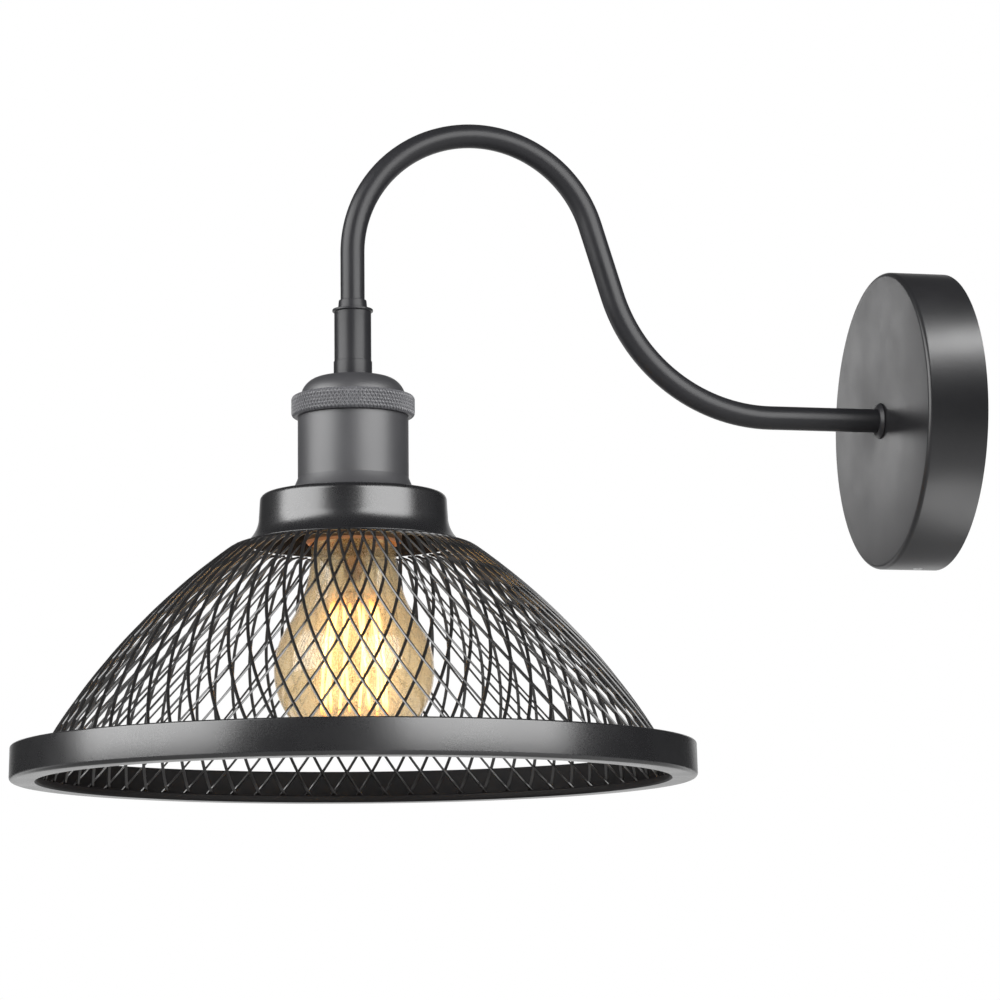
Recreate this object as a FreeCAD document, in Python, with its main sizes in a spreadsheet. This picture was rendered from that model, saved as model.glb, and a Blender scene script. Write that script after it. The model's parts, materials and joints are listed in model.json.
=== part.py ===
import FreeCAD, Part
import math
import os
import Sketcher
from FreeCAD import Placement, Rotation, Vector

# Gooseneck wall light with a dome of crossed steel strands.
# Millimetres. The origin is the centre of the canopy's back face, on the wall.
# +Z is up, the wall is the plane Y = 0, and the light stands out of it towards -Y.

doc = FreeCAD.newDocument("WallLight")

# ---------------------------------------------------------------- driving dimensions

SIZES = {
    # canopy and what holds it to the wall
    "canopy_diameter": 120.0,
    "canopy_depth": 24.2,
    "canopy_wall": 1.0,
    "canopy_edge_round": 1.2,
    "bracket_width": 22.0,
    "bracket_thick": 1.6,
    "bracket_bend": 2.0,
    "ear_length": 15.0,
    "ear_gap": 0.35,
    "slot_spacing": 70.0,
    "slot_width": 5.0,
    "slot_length": 14.0,
    "wire_hole": 16.0,
    "side_screw_diameter": 4.0,
    "side_screw_length": 7.0,
    "side_screw_setback": 10.0,
    "side_screw_key": 1.6,
    "earth_screw_diameter": 4.0,
    "earth_screw_height": 18.0,
    "earth_head_diameter": 7.6,
    "earth_head_height": 2.4,
    "earth_washer_diameter": 9.0,
    "earth_washer_thick": 0.8,
    "block_width": 14.0,
    "block_height": 15.0,
    "block_depth": 13.0,
    "block_top": -11.5,
    "block_bore": 2.8,
    "block_screw_diameter": 2.6,
    # gooseneck arm
    "arm_reach": 240.5,
    "tube_diameter": 9.5,
    "tube_wall": 1.0,
    "tube_tail": 6.2,
    "arch_height": 110.6,
    "arch_radius": 49.4,
    "sweep_radius": 67.6,
    "droop_angle": 72.7,
    "washer_diameter": 14.4,
    "washer_thick": 1.8,
    "washer_edge": 0.54,
    "washer_nose": 11.6,
    "star_diameter": 16.0,
    "star_thick": 0.8,
    "locknut_width": 14.0,
    "locknut_thick": 3.0,
    # coupler, nipple and lamp holder
    "lip_height": 38.5,
    "lip_diameter": 16.0,
    "lip_thick": 1.0,
    "coupler_diameter": 14.5,
    "coupler_heel_diameter": 15.1,
    "coupler_heel_top": 17.6,
    "cone_height": 3.6,
    "cone_top_wall": 0.7,
    "cone_foot_diameter": 11.6,
    "coupler_seat": 24.0,
    "nipple_diameter": 10.0,
    "nipple_bore": 7.5,
    "nipple_seat_gap": 1.0,
    "nipple_end": 1.2,
    "cap_nut_width": 14.0,
    "cap_nut_thick": 2.6,
    "cap_top": 11.2,
    "cap_round": 8.5,
    "cap_diameter": 41.2,
    "cap_skirt": 2.0,
    "cap_wall": 1.0,
    "ring_diameter": 48.3,
    "ring_centre": -0.35,
    "ring_height": 8.2,
    "ring_round": 1.5,
    "holder_diameter": 43.3,
    "holder_wall": 1.2,
    "holder_foot": -35.0,
    "foot_diameter": 49.0,
    "foot_height": 6.3,
    "foot_edge": 0.6,
    "core_diameter": 37.6,
    "core_tail": -54.6,
    "core_chamfer": 1.0,
    "core_mouth_diameter": 34.4,
    "core_mouth_depth": 5.6,
    "core_head": -3.0,
    "core_floor": -19.0,
    "contact_width": 6.0,
    "contact_length": 20.4,
    "contact_thick": 0.6,
    "core_screw_diameter": 5.4,
    "core_screw_height": 2.0,
    "core_screw_spacing": 22.0,
    "thread_diameter": 28.4,
    "thread_wall": 0.5,
    "thread_tail": -44.0,
    # shade
    "collar_top": -35.2,
    "collar_wall": 1.0,
    "collar_shoulder": 2.6,
    "collar_diameter": 72.8,
    "collar_waist_diameter": 73.7,
    "collar_waist": -45.3,
    "collar_foot": -54.5,
    "collar_foot_diameter": 83.0,
    "collar_edge": 0.6,
    "collar_flare": 13.0,
    "clamp_ring_diameter": 46.4,
    "clamp_ring_lip": 1.6,
    "clamp_ring_hub": 43.0,
    "clamp_ring_height": 7.5,
    "rim_diameter": 264.2,
    "rim_height": 11.7,
    "rim_lean": 0.6,
    "rim_foot": -146.8,
    "rim_wall": 1.2,
    "rim_round": 1.3,
    "rim_flange": 10.5,
    "rim_hem": 2.6,
    "rim_chamfer": 0.6,
    "strand_count": 72,
    "strand_width": 0.85,
    "strand_thick": 0.7,
    "strand_tuck": 0.6,
    "strand_stand_off": 1.45,
    "strand_rest": 0.6,
    "strand_spans": 5,
    "net_turn": 1.3,
    "shoulder_width": 3.9,
    "shoulder_drop": 0.12,
    "dome_bulge": 7.05,
    "row_start": -1.65,
    "row_count": 10.96,
    "row_bend": 0.278,
    # bulb
    "bulb_diameter": 62.0,
    "bulb_centre": -104.0,
    "bulb_neck_diameter": 33.0,
    "bulb_neck": -56.5,
    "bulb_glass_wall": 0.7,
    "bulb_cap_diameter": 26.2,
    "bulb_cap_wall": 0.4,
    "bulb_cap_top": -24.0,
    "bulb_cap_chamfer": 1.4,
    "insulator_inset": 2.4,
    "insulator_depth": 1.6,
    "bulb_tip_height": 1.3,
    "bulb_tip_edge": 0.7,
    "bulb_cap_foot": -50.2,
    "bulb_mouth_inset": 0.6,
    "bulb_mouth_rise": 0.3,
    "bulb_tip_diameter": 9.0,
    "bulb_tip_top": -20.4,
    "stem_diameter": 9.0,
    "stem_skirt": 3.5,
    "stem_flare": -61.0,
    "stem_end": -74.0,
    "stem_waist_diameter": 5.4,
    "hub_height": 3.0,
    "hub_taper": 2.0,
    "hub_diameter": 5.6,
    "filament_top": -77.0,
    "filament_foot": -121.0,
    "filament_top_radius": 9.0,
    "filament_foot_radius": 13.5,
    "filament_strands": 10,
    "filament_wire": 0.5,
    "support_wire": 0.5,
    # leads inside the arm
    "lead_diameter": 2.2,
    "lead_offset": 2.2,
    "lead_bend": 4.5,
    "lead_grip": 11.0,
    # clearances
    "fit_gap": 0.1,
    "free_gap": 0.3,
    "contact_gap": 0.05,
}

sheet = doc.addObject("Spreadsheet::Sheet", "Dimensions")
for row, (alias, value) in enumerate(SIZES.items(), start=1):
    sheet.set("A%d" % row, alias.replace("_", " "))
    sheet.set("B%d" % row, repr(value))
    sheet.setAlias("B%d" % row, alias)
doc.recompute()


def size(alias):
    """A driving dimension, read back from the sheet."""
    return float(sheet.get(alias))


def named(expression):
    """The expression with each of the sheet's aliases written as the sheet's own cell."""
    words = []
    word = ""
    for letter in expression + " ":
        if letter.isalnum() or letter == "_":
            word += letter
            continue
        words.append("Dimensions." + word if word in SIZES else word)
        words.append(letter)
        word = ""
    return "".join(words).strip()


def worth(expression):
    """What an expression of aliases comes to."""
    return float(sheet.evalExpression(named(expression)))


# ---------------------------------------------------------------- helpers

nodes = []


def keep(item, label):
    """Name an object as one of the light's sub-parts."""
    item.Label = label
    nodes.append(item)
    return item


def new_body(label, along="0", height="0"):
    """A body whose own origin lies along Y and up Z from the light's origin."""
    body = doc.addObject("PartDesign::Body", "Body")
    body.setExpression("Placement.Base.y", named(along))
    body.setExpression("Placement.Base.z", named(height))
    return keep(body, label)


def origin_plane(body, role):
    return next(f for f in body.Origin.OriginFeatures if f.Role == role)


def new_sketch(body, role, name, offset=None):
    sketch = body.newObject("Sketcher::SketchObject", name)
    sketch.AttachmentSupport = [(origin_plane(body, role), "")]
    sketch.MapMode = "FlatFace"
    if offset:
        sketch.setExpression("AttachmentOffset.Base.z", named(offset))
    return sketch


def bind(sketch, index, label, expression):
    sketch.renameConstraint(index, label)
    sketch.setExpression("Constraints." + label, named(expression))


def place_point(sketch, geometry, point, label, across, up):
    """Hold one end of an edge at its two coordinates."""
    for kind, letter, expression in (("DistanceX", "x", across), ("DistanceY", "y", up)):
        value = worth(expression)
        if abs(value) < 1e-9 and expression.strip() == "0":
            other = Sketcher.Constraint("PointOnObject", geometry, point, -2 if letter == "x" else -1)
            sketch.addConstraint(other)
            continue
        made = sketch.addConstraint(Sketcher.Constraint(kind, -1, 1, geometry, point, value))
        bind(sketch, made, label + letter, expression)


def arc_between(start, end, radius, left):
    """The arc under a half circle between two points, its centre on the left or right of the way."""
    middle = (start + end) * 0.5
    half = (end - start) * 0.5
    rise = math.sqrt(max(radius ** 2 - half.Length ** 2, 0.0))
    side = Vector(-half.y, half.x, 0).normalize() * (rise if left else -rise)
    centre = middle + side
    circle = Part.Circle(centre, Vector(0, 0, 1), radius)
    first = math.atan2(start.y - centre.y, start.x - centre.x)
    last = math.atan2(end.y - centre.y, end.x - centre.x)
    if left:
        return Part.ArcOfCircle(circle, first, last), 1, 2
    return Part.ArcOfCircle(circle, last, first), 2, 1


def outline(sketch, points, arcs=None, tag="p"):
    """A closed outline: each point is a pair of expressions, and arcs[i] = (radius, left) bends edge i."""
    arcs = arcs or {}
    spots = [Vector(worth(across), worth(up), 0) for across, up in points]
    ends = []
    for i, spot in enumerate(spots):
        after = spots[(i + 1) % len(spots)]
        if i in arcs:
            radius, left = arcs[i]
            curve, first, last = arc_between(spot, after, worth(radius), left)
            made = sketch.addGeometry(curve, False)
            held = sketch.addConstraint(Sketcher.Constraint("Radius", made, worth(radius)))
            bind(sketch, held, "%sr%d" % (tag, i), radius)
        else:
            made = sketch.addGeometry(Part.LineSegment(spot, after), False)
            first, last = 1, 2
        ends.append((made, first, last))
    for i, (made, first, last) in enumerate(ends):
        before = ends[i - 1]
        sketch.addConstraint(Sketcher.Constraint("Coincident", before[0], before[2], made, first))
    for i, (across, up) in enumerate(points):
        place_point(sketch, ends[i][0], ends[i][1], "%s%d" % (tag, i), across, up)


def circle_at(sketch, diameter, across="0", up="0", tag="c"):
    centre = Vector(worth(across), worth(up), 0)
    made = sketch.addGeometry(Part.Circle(centre, Vector(0, 0, 1), worth(diameter) / 2), False)
    held = sketch.addConstraint(Sketcher.Constraint("Diameter", made, worth(diameter)))
    bind(sketch, held, tag + "size", diameter)
    place_point(sketch, made, 3, tag, across, up)


def revolve(body, sketch, axis="V_Axis"):
    turned = body.newObject("PartDesign::Revolution", "Turned")
    turned.Profile = sketch
    turned.ReferenceAxis = (sketch, [axis])
    turned.Angle = 360
    doc.recompute()
    return turned


def turned_part(label, points, arcs=None, along="-arm_reach", height="0"):
    """A body turned about the vertical axis of the shade."""
    body = new_body(label, along, height)
    sketch = new_sketch(body, "XZ_Plane", "Section")
    outline(sketch, points, arcs)
    revolve(body, sketch)
    return body


def wall_turned_part(label, points, arcs=None):
    """A body turned about the wall's normal, its outline drawn as (out of the wall, radius)."""
    body = new_body(label)
    sketch = new_sketch(body, "YZ_Plane", "Section")
    outline(sketch, points, arcs)
    revolve(body, sketch, "H_Axis")
    return body


def pocket_through(body, sketch):
    """Cut a sketch through everything both ways, and make sure that it cut."""
    before = body.Shape.Volume
    cut = body.newObject("PartDesign::Pocket", "Cut")
    cut.Profile = sketch
    cut.Type = 1
    cut.Midplane = True
    doc.recompute()
    if not body.Shape.Volume < before:
        raise RuntimeError(body.Label + ": a pocket cuts nothing")
    return cut


def pad(body, sketch, length, midplane=False, flipped=False):
    made = body.newObject("PartDesign::Pad", "Pad")
    made.Profile = sketch
    made.setExpression("Length", named(length))
    made.Midplane = midplane
    made.Reversed = flipped
    doc.recompute()
    return made


def hexagon(sketch, across_flats, tag="h"):
    """A regular hexagon about the sketch's origin, sized across its flats."""
    radius = worth(across_flats) / math.sqrt(3)
    corners = [Vector(radius * math.cos(math.radians(60 * i)), radius * math.sin(math.radians(60 * i)), 0)
               for i in range(6)]
    sides = [sketch.addGeometry(Part.LineSegment(corners[i], corners[(i + 1) % 6]), False) for i in range(6)]
    guide = sketch.addGeometry(Part.Circle(Vector(0, 0, 0), Vector(0, 0, 1), radius), True)
    for i, side in enumerate(sides):
        sketch.addConstraint(Sketcher.Constraint("Coincident", side, 2, sides[(i + 1) % 6], 1))
        sketch.addConstraint(Sketcher.Constraint("PointOnObject", side, 1, guide))
    for side in sides[1:]:
        sketch.addConstraint(Sketcher.Constraint("Equal", sides[0], side))
    sketch.addConstraint(Sketcher.Constraint("Coincident", guide, 3, -1, 1))
    sketch.addConstraint(Sketcher.Constraint("PointOnObject", sides[0], 1, -1))
    held = sketch.addConstraint(Sketcher.Constraint("Diameter", guide, 2 * radius))
    bind(sketch, held, tag + "size", "(%s) * 2 / sqrt(3)" % across_flats)


def cylinder(diameter, length, along="0", height="0", across="0", direction="z"):
    """A plain cylinder whose near end is at the point given and which runs along +Z or -Y."""
    made = doc.addObject("Part::Cylinder", "Cylinder")
    made.setExpression("Radius", named("(%s) / 2" % diameter))
    made.setExpression("Height", named(length))
    if direction == "y":
        made.Placement = Placement(Vector(), Rotation(Vector(1, 0, 0), 90))
    made.setExpression("Placement.Base.x", named(across))
    made.setExpression("Placement.Base.y", named(along))
    made.setExpression("Placement.Base.z", named(height))
    return made


def cut_of(base, tool):
    made = doc.addObject("Part::Cut", "Cut")
    made.Base = base
    made.Tool = tool
    return made


def fusion_of(*pieces):
    made = doc.addObject("Part::MultiFuse", "Fusion")
    made.Shapes = list(pieces)
    return made


def group_of(label, *pieces):
    """Several separate solids kept as one sub-part."""
    made = doc.addObject("Part::Compound", "Group")
    made.Links = list(pieces)
    return keep(made, label)


# ---------------------------------------------------------------- wall end

# where the tube's threaded tail ends inside the canopy, and the line of the connector's two ways
TUBE_END = "-canopy_depth + canopy_wall + tube_tail"
WAY_LINE = "-bracket_thick - contact_gap - block_depth / 2"


def make_canopy_cup():
    """Spun steel cup, open to the wall, bored for the arm and for two flush side screws."""
    rim = "canopy_diameter / 2"
    front = "-canopy_depth"
    curve = "canopy_edge_round"
    body = wall_turned_part("canopy_cup", [
        ("0", "canopy_diameter / 2"),
        (front + " + " + curve, rim),
        (front, rim + " - " + curve),
        (front, "(tube_diameter) / 2 + fit_gap"),
        (front + " + canopy_wall", "(tube_diameter) / 2 + fit_gap"),
        (front + " + canopy_wall", rim + " - canopy_wall"),
        ("0", rim + " - canopy_wall"),
    ], {1: (curve, True)})
    holes = new_sketch(body, "XY_Plane", "SideHoles")
    circle_at(holes, "side_screw_diameter + 2 * fit_gap", "0", "-side_screw_setback")
    pocket_through(body, holes)


def make_wall_bracket():
    """Flat steel strap with two slots, a wire hole and an ear bent forward at each end."""
    body = new_body("wall_bracket")
    strap = new_sketch(body, "YZ_Plane", "Strap")
    # the ear's outer corners clear the cup's round inside by ear_gap
    top = "(sqrt((canopy_diameter / 2 - canopy_wall) ^ 2 - (bracket_width / 2) ^ 2) - ear_gap)"
    thick, bend, ear = "bracket_thick", "bracket_bend", "ear_length"
    outline(strap, [
        ("0", "-%s + %s" % (top, bend)),
        ("0", "%s - %s" % (top, bend)),
        ("-" + bend, top),
        ("-" + ear, top),
        ("-" + ear, "%s - %s" % (top, thick)),
        ("-" + bend, "%s - %s" % (top, thick)),
        ("-" + thick, "%s - %s" % (top, bend)),
        ("-" + thick, "-%s + %s" % (top, bend)),
        ("-" + bend, "-%s + %s" % (top, thick)),
        ("-" + ear, "-%s + %s" % (top, thick)),
        ("-" + ear, "-" + top),
        ("-" + bend, "-" + top),
    ], {
        1: (bend, True),
        5: ("%s - %s" % (bend, thick), False),
        7: ("%s - %s" % (bend, thick), False),
        11: (bend, True),
    })
    pad(body, strap, "bracket_width", midplane=True)
    slots = new_sketch(body, "XZ_Plane", "Slots")
    half = "slot_width / 2"
    run = "(slot_length - slot_width) / 2"
    for tag, centre in (("a", "slot_spacing / 2"), ("b", "-slot_spacing / 2")):
        outline(slots, [
            (half, "%s - %s" % (centre, run)),
            (half, "%s + %s" % (centre, run)),
            ("0", "%s + %s + %s" % (centre, run, half)),
            ("-" + half, "%s + %s" % (centre, run)),
            ("-" + half, "%s - %s" % (centre, run)),
            ("0", "%s - %s - %s" % (centre, run, half)),
        ], {1: (half, True), 2: (half, True), 4: (half, True), 5: (half, True)}, tag)
    circle_at(slots, "wire_hole", tag="w")
    circle_at(slots, "earth_screw_diameter", "0", "earth_screw_height", tag="e")
    pocket_through(body, slots)
    taps = new_sketch(body, "XY_Plane", "EarTaps")
    circle_at(taps, "side_screw_diameter", "0", "-side_screw_setback")
    pocket_through(body, taps)


def make_canopy_screws():
    """Two headless screws with a hexagon socket, flush with the cup at top and bottom."""
    screws = []
    for side in (1, -1):
        end = "canopy_diameter / 2"
        low = end + " - side_screw_length" if side > 0 else "-" + end
        shank = cylinder("side_screw_diameter - contact_gap", "side_screw_length", "-side_screw_setback", low)
        key = doc.addObject("Part::Prism", "Key")
        key.Polygon = 6
        key.setExpression("Circumradius", named("side_screw_key / 2"))
        key.setExpression("Height", named("side_screw_length / 3"))
        key.setExpression("Placement.Base.y", named("-side_screw_setback"))
        foot = end + " - side_screw_length / 3" if side > 0 else "-" + end
        key.setExpression("Placement.Base.z", named(foot))
        screws.append(cut_of(shank, key))
    group_of("canopy_screws", *screws)


def make_arm_fixings():
    """Flared washer outside the cup, star washer and locknut inside it."""
    front = "-canopy_depth"
    inner = "tube_diameter / 2 + fit_gap"
    wall_turned_part("arm_washer", [
        (front + " - contact_gap", inner),
        (front + " - contact_gap", "washer_diameter / 2"),
        (front + " - contact_gap - washer_edge", "washer_diameter / 2"),
        (front + " - contact_gap - washer_thick", "washer_nose / 2"),
        (front + " - contact_gap - washer_thick", inner),
    ])
    back = front + " + canopy_wall + contact_gap"
    body = new_body("star_washer", "(%s)" % back)
    teeth = new_sketch(body, "XZ_Plane", "Ring")
    circle_at(teeth, "star_diameter", tag="o")
    circle_at(teeth, "tube_diameter + 2 * fit_gap", tag="i")
    pad(body, teeth, "star_thick", flipped=True)
    notch = new_sketch(body, "XZ_Plane", "Notch")
    outline(notch, [
        ("-star_diameter / 28", "star_diameter * 0.41"),
        ("star_diameter / 28", "star_diameter * 0.41"),
        ("star_diameter / 28", "star_diameter * 0.55"),
        ("-star_diameter / 28", "star_diameter * 0.55"),
    ])
    cut = pocket_through(body, notch)
    spread = body.newObject("PartDesign::PolarPattern", "Teeth")
    spread.Originals = [cut]
    spread.Axis = (notch, ["N_Axis"])
    spread.Angle = 360
    spread.Occurrences = 12
    body.Tip = spread
    nut = new_body("arm_locknut", "(%s + star_thick + contact_gap)" % back)
    flats = new_sketch(nut, "XZ_Plane", "Flats")
    hexagon(flats, "locknut_width")
    circle_at(flats, "tube_diameter + contact_gap", tag="i")
    pad(nut, flats, "locknut_thick", flipped=True)


def make_earth_screw():
    """Slotted screw and washer for the earth wire, on the strap above the wire hole."""
    face = "-bracket_thick - contact_gap"
    ring = cylinder("earth_washer_diameter", "earth_washer_thick", face, "earth_screw_height", direction="y")
    bore = cylinder("earth_screw_diameter + 2 * fit_gap", "earth_washer_thick", face, "earth_screw_height",
                    direction="y")
    keep(cut_of(ring, bore), "earth_washer")
    under_head = "-bracket_thick - earth_washer_thick - 2 * contact_gap"
    head = cylinder("earth_head_diameter", "earth_head_height", under_head, "earth_screw_height", direction="y")
    shank = cylinder("earth_screw_diameter - contact_gap", "bracket_thick + earth_washer_thick",
                     "-3 * contact_gap", "earth_screw_height", direction="y")
    slot = doc.addObject("Part::Box", "Slot")
    slot.setExpression("Length", named("earth_head_diameter * 1.2"))
    slot.setExpression("Width", named("earth_head_height * 0.5"))
    slot.setExpression("Height", named("earth_head_diameter * 0.14"))
    slot.setExpression("Placement.Base.x", named("-earth_head_diameter * 0.6"))
    slot.setExpression("Placement.Base.y", named(under_head + " - earth_head_height"))
    slot.setExpression("Placement.Base.z", named("earth_screw_height - earth_head_diameter * 0.07"))
    keep(cut_of(fusion_of(head, shank), slot), "earth_screw")


def make_terminal_block():
    """Two-way connector under the arm's end, with a clamping screw over each wire way."""
    body = new_body("terminal_block", "-bracket_thick - contact_gap", "block_top")
    case = new_sketch(body, "XY_Plane", "Case")
    outline(case, [
        ("-block_width / 2", "-block_depth"),
        ("block_width / 2", "-block_depth"),
        ("block_width / 2", "0"),
        ("-block_width / 2", "0"),
    ])
    pad(body, case, "block_height", flipped=True)
    ways = new_sketch(body, "XY_Plane", "Ways")
    circle_at(ways, "block_bore", "lead_offset", "-block_depth / 2", tag="a")
    circle_at(ways, "block_bore", "-lead_offset", "-block_depth / 2", tag="b")
    pocket_through(body, ways)
    screw_side = new_sketch(body, "XZ_Plane", "ScrewHoles", "block_depth")
    for tag, across in (("a", "lead_offset"), ("b", "-lead_offset")):
        circle_at(screw_side, "block_screw_diameter + 2 * fit_gap", across, "-block_height / 2", tag=tag)
    before = body.Shape.Volume
    sink = body.newObject("PartDesign::Pocket", "ScrewHole")
    sink.Profile = screw_side
    sink.Type = 0
    sink.setExpression("Length", named("block_depth / 2"))
    sink.Reversed = False
    doc.recompute()
    if not body.Shape.Volume < before:
        sink.Reversed = True
        doc.recompute()
    screws = []
    for side in ("lead_offset", "-lead_offset"):
        screws.append(cylinder("block_screw_diameter", "block_depth / 2 - lead_diameter / 2 - free_gap",
                               WAY_LINE + " - lead_diameter / 2 - free_gap",
                               "block_top - block_height / 2", side, direction="y"))
    group_of("terminal_screws", *screws)


# ---------------------------------------------------------------- gooseneck

def neck_path(sketch, start, foot, tail=None):
    """The arm's line in (Y, Z): out of the wall, a wide sweep up, the arch, and down to the lamp holder.

    start is where the straight run begins, foot is how low the far end reaches, and tail, if given,
    adds a small bend down at the wall end: (bend radius, how low it goes).
    """
    reach = size("arm_reach")
    arch, sweep = size("arch_radius"), size("sweep_radius")
    droop = math.radians(size("droop_angle"))
    spring = size("arch_height") - arch
    # end of the arch, start of the sweep and its end, from the tangents
    arch_centre = Vector(-reach + arch, spring, 0)
    leave = arch_centre + Vector(math.sin(droop), math.cos(droop), 0) * arch
    fall = leave.y - sweep * (1 - math.cos(droop))
    join = leave + Vector(math.cos(droop), -math.sin(droop), 0) * (fall / math.sin(droop))
    sweep_centre = Vector(join.x + sweep * math.sin(droop), sweep, 0)
    begin = Vector(worth(start), 0, 0)
    up = Vector(0, 0, 1)
    straight = Part.LineSegment(begin, Vector(sweep_centre.x, 0, 0))
    low = Part.ArcOfCircle(Part.Circle(sweep_centre, up, sweep), -math.pi / 2 - droop, -math.pi / 2)
    slope = Part.LineSegment(join, leave)
    high = Part.ArcOfCircle(Part.Circle(arch_centre, up, arch), math.pi / 2 - droop, math.pi)
    drop = Part.LineSegment(Vector(-reach, spring, 0), Vector(-reach, worth(foot), 0))
    ids = [sketch.addGeometry(edge, False) for edge in (straight, low, slope, high, drop)]
    link = Sketcher.Constraint
    sketch.addConstraint([
        link("Tangent", ids[0], 2, ids[1], 2),
        link("Tangent", ids[1], 1, ids[2], 1),
        link("Tangent", ids[2], 2, ids[3], 1),
        link("Tangent", ids[3], 2, ids[4], 1),
        link("Horizontal", ids[0]),
        link("Vertical", ids[4]),
    ])
    bind(sketch, sketch.addConstraint(link("Radius", ids[1], sweep)), "sweep", "sweep_radius")
    bind(sketch, sketch.addConstraint(link("Radius", ids[3], arch)), "arch", "arch_radius")
    bind(sketch, sketch.addConstraint(link("DistanceX", -1, 1, ids[4], 2, -reach)), "reach", "-arm_reach")
    bind(sketch, sketch.addConstraint(link("DistanceY", -1, 1, ids[4], 2, worth(foot))), "foot", foot)
    bind(sketch, sketch.addConstraint(link("DistanceY", -1, 1, ids[3], 3, spring)), "spring",
         "arch_height - arch_radius")
    made = sketch.addConstraint(link("Angle", ids[2], 2, ids[0], 2, droop))
    sketch.renameConstraint(made, "droop")
    sketch.setExpression("Constraints.droop", "Dimensions.droop_angle * 1 deg")
    if tail:
        bend, low_end = tail
        radius = worth(bend)
        bend_arc = Part.ArcOfCircle(Part.Circle(begin + Vector(0, -radius, 0), up, radius), 0, math.pi / 2)
        corner = begin + Vector(radius, -radius, 0)
        last = Part.LineSegment(corner, Vector(corner.x, worth(low_end), 0))
        tails = [sketch.addGeometry(edge, False) for edge in (bend_arc, last)]
        sketch.addConstraint([
            link("Tangent", tails[0], 2, ids[0], 1),
            link("Tangent", tails[0], 1, tails[1], 1),
            link("Vertical", tails[1]),
        ])
        bind(sketch, sketch.addConstraint(link("Radius", tails[0], radius)), "bend", bend)
        bind(sketch, sketch.addConstraint(link("DistanceY", -1, 1, tails[1], 2, worth(low_end))), "tail", low_end)
    bind(sketch, sketch.addConstraint(link("DistanceX", -1, 1, ids[0], 1, worth(start))), "start", start)
    sketch.addConstraint(link("PointOnObject", ids[0], 1, -1))


def piped(label, spine_builder, section_builder, plane_offset):
    """A body swept along a line drawn in the light's own upright plane."""
    body = new_body(label)
    spine = new_sketch(body, "YZ_Plane", "Line")
    spine_builder(spine)
    doc.recompute()
    section = new_sketch(body, "XY_Plane", "Section", plane_offset)
    section_builder(section)
    doc.recompute()
    pipe = body.newObject("PartDesign::AdditivePipe", "Pipe")
    pipe.Profile = section
    pipe.Spine = spine
    doc.recompute()
    return body


def make_arm_tube():
    """Bent steel tube, from inside the canopy to its seat in the coupler."""
    def line(sketch):
        neck_path(sketch, TUBE_END, "coupler_seat")

    def ring(sketch):
        circle_at(sketch, "tube_diameter", "0", "-arm_reach", tag="o")
        circle_at(sketch, "tube_diameter - 2 * tube_wall", "0", "-arm_reach", tag="i")

    piped("arm_tube", line, ring, "coupler_seat")


def make_leads():
    """The two insulated leads, side by side in the arm from the connector to the lamp holder."""
    for label, side in (("live_lead", "lead_offset"), ("neutral_lead", "-lead_offset")):
        def line(sketch):
            neck_path(sketch, WAY_LINE + " - lead_bend", "core_head + free_gap",
                      ("lead_bend", "block_top - lead_grip"))

        def ring(sketch, side=side):
            circle_at(sketch, "lead_diameter", side, "-arm_reach")

        piped(label, line, ring, "core_head + free_gap")


# ---------------------------------------------------------------- lamp holder

def make_coupler():
    """Turned sleeve: a short cone off the tube, a thin flat lip, a plain barrel and a wider heel."""
    cone = "lip_height + cone_height"
    turned_part("coupler_sleeve", [
        ("tube_diameter / 2 + contact_gap", "coupler_seat"),
        ("tube_diameter / 2 + contact_gap", cone),
        ("tube_diameter / 2 + cone_top_wall", cone),
        ("cone_foot_diameter / 2", "lip_height"),
        ("lip_diameter / 2", "lip_height"),
        ("lip_diameter / 2", "lip_height - lip_thick"),
        ("coupler_diameter / 2", "lip_height - lip_thick"),
        ("coupler_diameter / 2", "coupler_heel_top"),
        ("coupler_heel_diameter / 2", "coupler_heel_top"),
        ("coupler_heel_diameter / 2", "cap_top + contact_gap"),
        ("nipple_diameter / 2 + contact_gap", "cap_top + contact_gap"),
        ("nipple_diameter / 2 + contact_gap", "coupler_seat - contact_gap"),
        ("tube_diameter / 2 - tube_wall", "coupler_seat - contact_gap"),
        ("tube_diameter / 2 - tube_wall", "coupler_seat"),
    ])


def make_nipple():
    """Threaded tube that joins the coupler to the cap, and its nut inside the cap."""
    foot = "cap_top - cap_wall - cap_nut_thick - 2 * contact_gap - nipple_end"
    turned_part("threaded_nipple", [
        ("nipple_bore / 2", foot),
        ("nipple_diameter / 2", foot),
        ("nipple_diameter / 2", "coupler_seat - nipple_seat_gap"),
        ("nipple_bore / 2", "coupler_seat - nipple_seat_gap"),
    ])
    nut = new_body("cap_nut", "-arm_reach", "(cap_top - cap_wall - contact_gap)")
    flats = new_sketch(nut, "XY_Plane", "Flats")
    hexagon(flats, "cap_nut_width")
    circle_at(flats, "nipple_diameter + contact_gap", tag="i")
    pad(nut, flats, "cap_nut_thick", flipped=True)


def make_cap():
    """Cap with a flat crown and a quarter-round edge, spun to an even wall."""
    half = "cap_diameter / 2"
    crown = half + " - cap_round"
    hem = "ring_centre - ring_height / 2 + cap_skirt"
    turned_part("socket_cap", [
        ("nipple_diameter / 2 + contact_gap", "cap_top"),
        (crown, "cap_top"),
        (half, "cap_top - cap_round"),
        (half, hem),
        (half + " - cap_wall", hem),
        (half + " - cap_wall", "cap_top - cap_round"),
        (crown, "cap_top - cap_wall"),
        ("nipple_diameter / 2 + contact_gap", "cap_top - cap_wall"),
    ], {1: ("cap_round", False), 5: ("cap_round - cap_wall", True)})


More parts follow.
